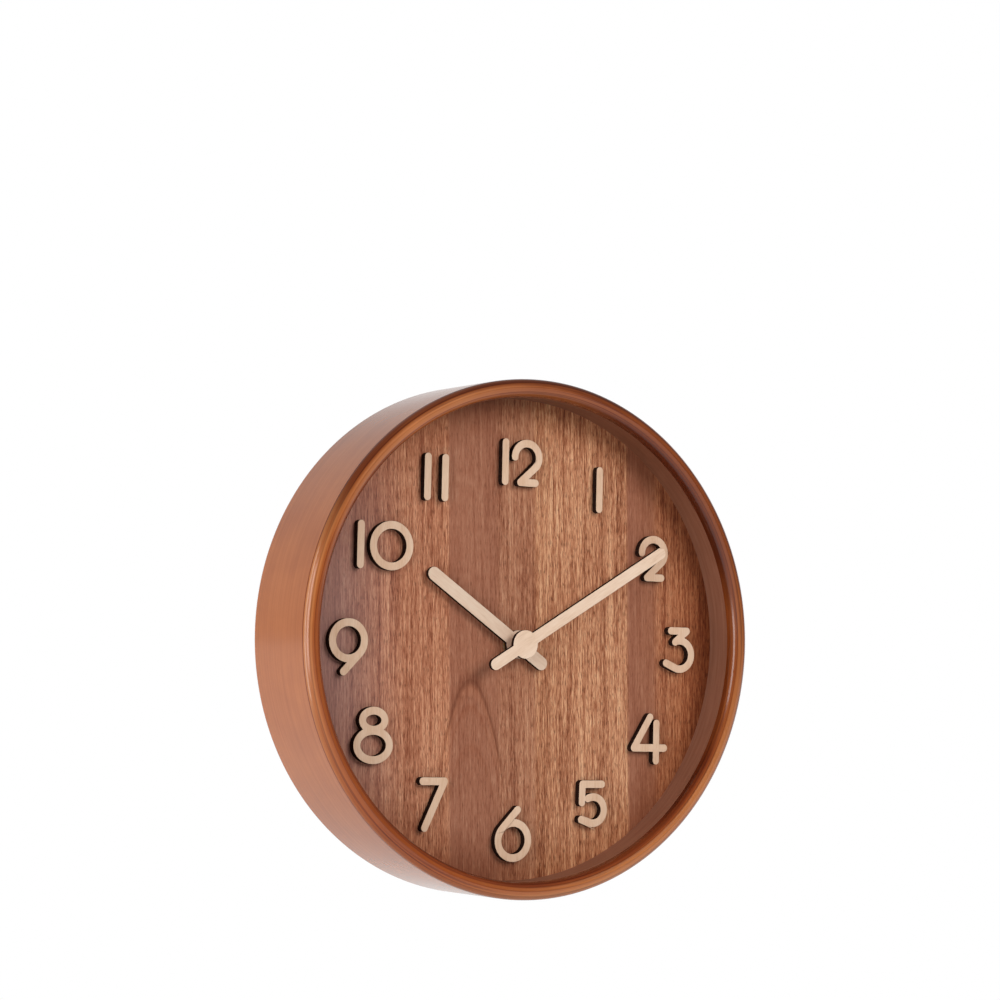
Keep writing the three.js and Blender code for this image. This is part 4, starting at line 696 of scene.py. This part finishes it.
# Solder mask: glossy green with the 0.5 mm weave of the glass cloth faintly showing through.
green_board = new_finish("solder_masked_glass_board")
place = add(green_board, "ShaderNodeTexCoord", {})["Object"]
weave = add(green_board, "ShaderNodeTexChecker", {
    "Vector": place, "Scale": 2000.0, "Color1": linear("#2C6A40"), "Color2": linear("#276039")})["Color"]
cloud = add(green_board, "ShaderNodeTexNoise", {"Vector": place, "Scale": 300.0, "Detail": 2.0})["Fac"]
sheen = add(green_board, "ShaderNodeMapRange", {"Value": cloud, "To Min": 0.2, "To Max": 0.38})[0]
surface = add(green_board, "ShaderNodeBsdfPrincipled", {"Base Color": weave, "Roughness": sheen})[0]
add(green_board, "ShaderNodeOutputMaterial", {"Surface": surface})

dress(green_board, "circuit_board")
dress(black_abs, "circuit_chip")
dress(zinc_steel, "quartz_crystal")


# Setting knob: a fluted black ABS moulding pressed on the setting stem behind the cover. It is turned by a fingertip
# to set the hands.
KNOB_CORNER = 0.15 * MM
knob = moulded("fluted_setting_knob", "setting_knob", KNOB_CORNER, black_abs)
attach(knob, "setting")
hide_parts("setting_knob")


# Hands: cut by laser from thin beech board like the numerals, each glued to a brass bush that grips its arbor.
# The grain runs along each hand, and the hour hand's tones are darker as painted shade, for the shade it lies in
# behind the minute hand.
SHADED_HOUR_HAND_TONES = ("#C6A78D", "#D3B69F", "#D8BFA9", "#DEC7B4")
MINUTE_HAND_TONES = ("#D2B195", "#DFC1A8", "#E5CAB3", "#EBD3BE")
for name, node, body, side, tones in (
        ("beech_hour_hand", "hour_hand", "hour", -1, SHADED_HOUR_HAND_TONES),
        ("beech_minute_hand", "minute_hand", "minute", 1, MINUTE_HAND_TONES)):
    low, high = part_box(node)
    reach = max(high.x - ARBOR.x, ARBOR.x - low.x)
    lean = side * math.atan2(reach, high.z - ARBOR.z)
    hand = cut_from_board(name, node, pale_beech("sanded_pale_beech_" + node, -lean, tones), burnt_edge)
    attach(hand, body)
    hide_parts(node)
dress(brass, "hour_hand_bush", "minute_hand_bush")


# Cell contacts: strips of zinc-plated spring steel, bent to press on the ends of the cell. They are pushed into
# the housing at the two ends of the bay.
dress(zinc_steel, "positive_contact", "negative_contact")


# Cell: a drawn steel can in a shrunk plastic film, grey with a plain copper-coloured band at the positive end.
# It lies in the bay between the contacts and slides out to the rear.
cell_low, cell_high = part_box("battery")
CELL_MIDDLE = (cell_low + cell_high) / 2
CELL_RADIUS = (cell_high.z - cell_low.z) / 2
NUB_LENGTH = 1.0 * MM
NUB_RADIUS = 2.75 * MM
PLATE_RADIUS = 4.4 * MM
CAP_RADIUS = 5.6 * MM
FOLD_RADIUS = 6.6 * MM
CRIMP_DEPTH = 0.4 * MM
FOLD_ROUND = 0.6 * MM
BAND_WIDTH = 14 * MM
CELL_TURNS = 64
FILM_END = cell_high.x - NUB_LENGTH
BAND_START = FILM_END - BAND_WIDTH

# Shrunk film: smooth, slightly glossy and printed in two plain colours, with faint wrinkles 3 mm apart.
film = new_finish("printed_shrink_film")
place = add(film, "ShaderNodeTexCoord", {})["Object"]
split = add(film, "ShaderNodeSeparateXYZ", {0: place})
band = add(film, "ShaderNodeMath", {0: split["X"], 1: BAND_START}, operation="GREATER_THAN")[0]
fine = add(film, "ShaderNodeTexNoise", {"Vector": place, "Scale": 300.0, "Detail": 3.0})["Fac"]
dark = add(film, "ShaderNodeValToRGB", {"Fac": fine}, stops=[(0.3, "#2B2D30"), (0.7, "#35373A")])[0]
warm = add(film, "ShaderNodeValToRGB", {"Fac": fine}, stops=[(0.3, "#A8693C"), (0.7, "#B97A4A")])[0]
printed = add(film, "ShaderNodeMix", {0: band, 6: dark, 7: warm}, data_type="RGBA")[2]
sheen = add(film, "ShaderNodeMapRange", {"Value": fine, "To Min": 0.24, "To Max": 0.36})[0]
relief = add(film, "ShaderNodeBump", {"Height": fine, "Strength": 0.06, "Distance": 0.1 * MM})[0]
surface = add(film, "ShaderNodeBsdfPrincipled", {"Base Color": printed, "Roughness": sheen, "Normal": relief})[0]
add(film, "ShaderNodeOutputMaterial", {"Surface": surface})

# The outline runs from the negative plate over the crimp, the folded film and the can to the positive nub.
cell_outline = [(x, CELL_MIDDLE.y, CELL_MIDDLE.z + r) for x, r in (
    (cell_low.x, 0), (cell_low.x, PLATE_RADIUS), (cell_low.x + CRIMP_DEPTH, PLATE_RADIUS + 0.5 * MM),
    (cell_low.x + CRIMP_DEPTH, CAP_RADIUS), (cell_low.x + 0.1 * MM, CAP_RADIUS + 0.2 * MM),
    (cell_low.x + 0.1 * MM, FOLD_RADIUS), (cell_low.x + FOLD_ROUND, CELL_RADIUS),
    (FILM_END - FOLD_ROUND, CELL_RADIUS), (FILM_END, FOLD_RADIUS), (FILM_END, CAP_RADIUS + 0.3 * MM),
    (FILM_END - 0.3 * MM, CAP_RADIUS), (FILM_END - 0.3 * MM, NUB_RADIUS), (cell_high.x - 0.2 * MM, NUB_RADIUS),
    (cell_high.x, NUB_RADIUS - 0.3 * MM), (cell_high.x, 0))]
shape = spun(cell_outline, CELL_MIDDLE, (1, 0, 0), CELL_TURNS)
for face in shape.faces:
    middle = face.calc_center_median()
    out = math.hypot(middle.y - CELL_MIDDLE.y, middle.z - CELL_MIDDLE.z)
    face.material_index = 1 if out < CAP_RADIUS + 0.05 * MM else 0
    face.smooth = True
wrapped_cell = piece("wrapped_cell", shape, film, zinc_steel)
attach(wrapped_cell, "cell")
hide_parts("battery")


# Studio: the clock hangs clear of a plain pale floor, with a soft lamp high at the right of the front, a tall panel
# at the left and a smaller one between them. Sizes here are in metres.
FLOOR_DROP = 0.45
FLOOR_REACH = 30.0
FADE_START, FADE_END = 0.3, 1.2
PLAIN_WHITE = (1.0, 1.0, 1.0, 1.0)
SURROUND_LEVEL = 0.2
scene = bpy.context.scene
scene.view_settings.view_transform = "Standard"

# Painted floor: matt white that keeps the clock's shadow, going over to the plain white of the surround further out.
floor_paint = new_finish("matt_white_floor")
place = add(floor_paint, "ShaderNodeTexCoord", {})["Object"]
in_plan = add(floor_paint, "ShaderNodeVectorMath", {0: place, 1: (1, 1, 0)}, operation="MULTIPLY")[0]
far = add(floor_paint, "ShaderNodeVectorMath", {0: in_plan}, operation="LENGTH")["Value"]
fade = add(floor_paint, "ShaderNodeMapRange", {
    "Value": far, "From Min": FADE_START, "From Max": FADE_END, "To Min": 0.5})[0]
rays = add(floor_paint, "ShaderNodeLightPath", {})
seen = add(floor_paint, "ShaderNodeMath", {
    0: rays["Is Camera Ray"], 1: rays["Is Glossy Ray"]}, operation="MAXIMUM")[0]
seen = add(floor_paint, "ShaderNodeMath", {0: seen, 1: rays["Is Transmission Ray"]}, operation="MAXIMUM")[0]
share = add(floor_paint, "ShaderNodeMath", {0: seen, 1: fade}, operation="MULTIPLY")[0]
matt = add(floor_paint, "ShaderNodeBsdfDiffuse", {"Color": linear("#F4F3F0")})[0]
white = add(floor_paint, "ShaderNodeEmission", {"Color": PLAIN_WHITE, "Strength": 1.0})[0]
both = add(floor_paint, "ShaderNodeMixShader", {0: share, 1: matt, 2: white})[0]
add(floor_paint, "ShaderNodeOutputMaterial", {"Surface": both})
shape = bmesh.new()
bmesh.ops.create_circle(shape, cap_ends=True, segments=64, radius=FLOOR_REACH)
bmesh.ops.translate(shape, verts=shape.verts, vec=(0, 0, ring_low.z - FLOOR_DROP))
floor = piece("floor", shape, floor_paint)

world = bpy.data.worlds.new("studio_surround")
scene.world = world
world.use_nodes = True
world.node_tree.nodes.clear()
rays = add(world, "ShaderNodeLightPath", {})
toward = add(world, "ShaderNodeSeparateXYZ", {0: add(world, "ShaderNodeTexCoord", {})["Generated"]})
# Metal and lacquer see the white surround behind the clock, and a dim studio in front, above and at the left.
behind = add(world, "ShaderNodeMapRange", {
    "Value": toward["Y"], "From Min": -0.2, "From Max": 0.5, "To Min": 0.12, "To Max": 1.0})[0]
level_way = add(world, "ShaderNodeMapRange", {
    "Value": toward["Z"], "From Min": 0.2, "From Max": 0.7, "To Min": 1.0, "To Max": 0.45})[0]
rightward = add(world, "ShaderNodeMapRange", {
    "Value": toward["X"], "From Min": -0.6, "From Max": -0.15, "To Min": 0.45, "To Max": 1.0})[0]
mirrored = add(world, "ShaderNodeMath", {0: behind, 1: level_way}, operation="MULTIPLY")[0]
mirrored = add(world, "ShaderNodeMath", {0: mirrored, 1: rightward}, operation="MULTIPLY")[0]
glossy = add(world, "ShaderNodeMath", {0: rays["Is Glossy Ray"], 1: mirrored}, operation="MULTIPLY")[0]
seen = add(world, "ShaderNodeMath", {
    0: rays["Is Camera Ray"], 1: rays["Is Transmission Ray"]}, operation="MAXIMUM")[0]
seen = add(world, "ShaderNodeMath", {0: seen, 1: glossy}, operation="MAXIMUM")[0]
level = add(world, "ShaderNodeMath", {0: seen, 1: SURROUND_LEVEL}, operation="MAXIMUM")[0]
glow = add(world, "ShaderNodeBackground", {"Color": PLAIN_WHITE, "Strength": level})[0]
add(world, "ShaderNodeOutputWorld", {"Surface": glow})


def lamp(name, place, width, height, power, mirrored):
    """A soft lamp that faces the clock, and shows in gloss where mirrored says so."""
    light = bpy.data.lights.new(name, "AREA")
    light.shape = "RECTANGLE"
    light.size = width
    light.size_y = height
    light.energy = power
    stand = bpy.data.objects.new(name, light)
    stand.location = place
    stand.visible_glossy = mirrored
    stand.rotation_euler = (RING_MIDDLE - Vector(place)).to_track_quat("-Z", "Y").to_euler()
    scene.collection.objects.link(stand)


lamp("front_lamp", place=(0.5, -1.4, 0.62), width=0.9, height=0.9, power=17.0, mirrored=False)
lamp("left_panel", place=(-1.46, 0.16, -0.1), width=0.4, height=1.7, power=11.0, mirrored=True)
lamp("left_strip", place=(-1.37, -0.63, 0.1), width=0.6, height=0.9, power=10.0, mirrored=True)


# Camera: low and to the left of the clock, rolled a little because the clock hangs slightly askew in the view.
# Its place, line of sight and lens were fitted to the outline of the case.
CAMERA_PLACE = (-0.6368, -1.0563, -0.0662)
SENSOR_WIDTH = 36.0
LENS = 101.75
camera = bpy.data.cameras.new("camera")
camera.sensor_width = SENSOR_WIDTH
camera.lens = LENS
view_line = Vector((0.51996, 0.85138, 0.06925)).normalized()
view_up = Vector((-0.05526, -0.04737, 0.99735))
view_right = view_line.cross(view_up).normalized()
view_up = view_right.cross(view_line)
stand = bpy.data.objects.new("camera", camera)
facing = Matrix((view_right, view_up, -view_line)).transposed().to_4x4()
stand.matrix_world = Matrix.Translation(CAMERA_PLACE) @ facing
scene.collection.objects.link(stand)
scene.camera = stand
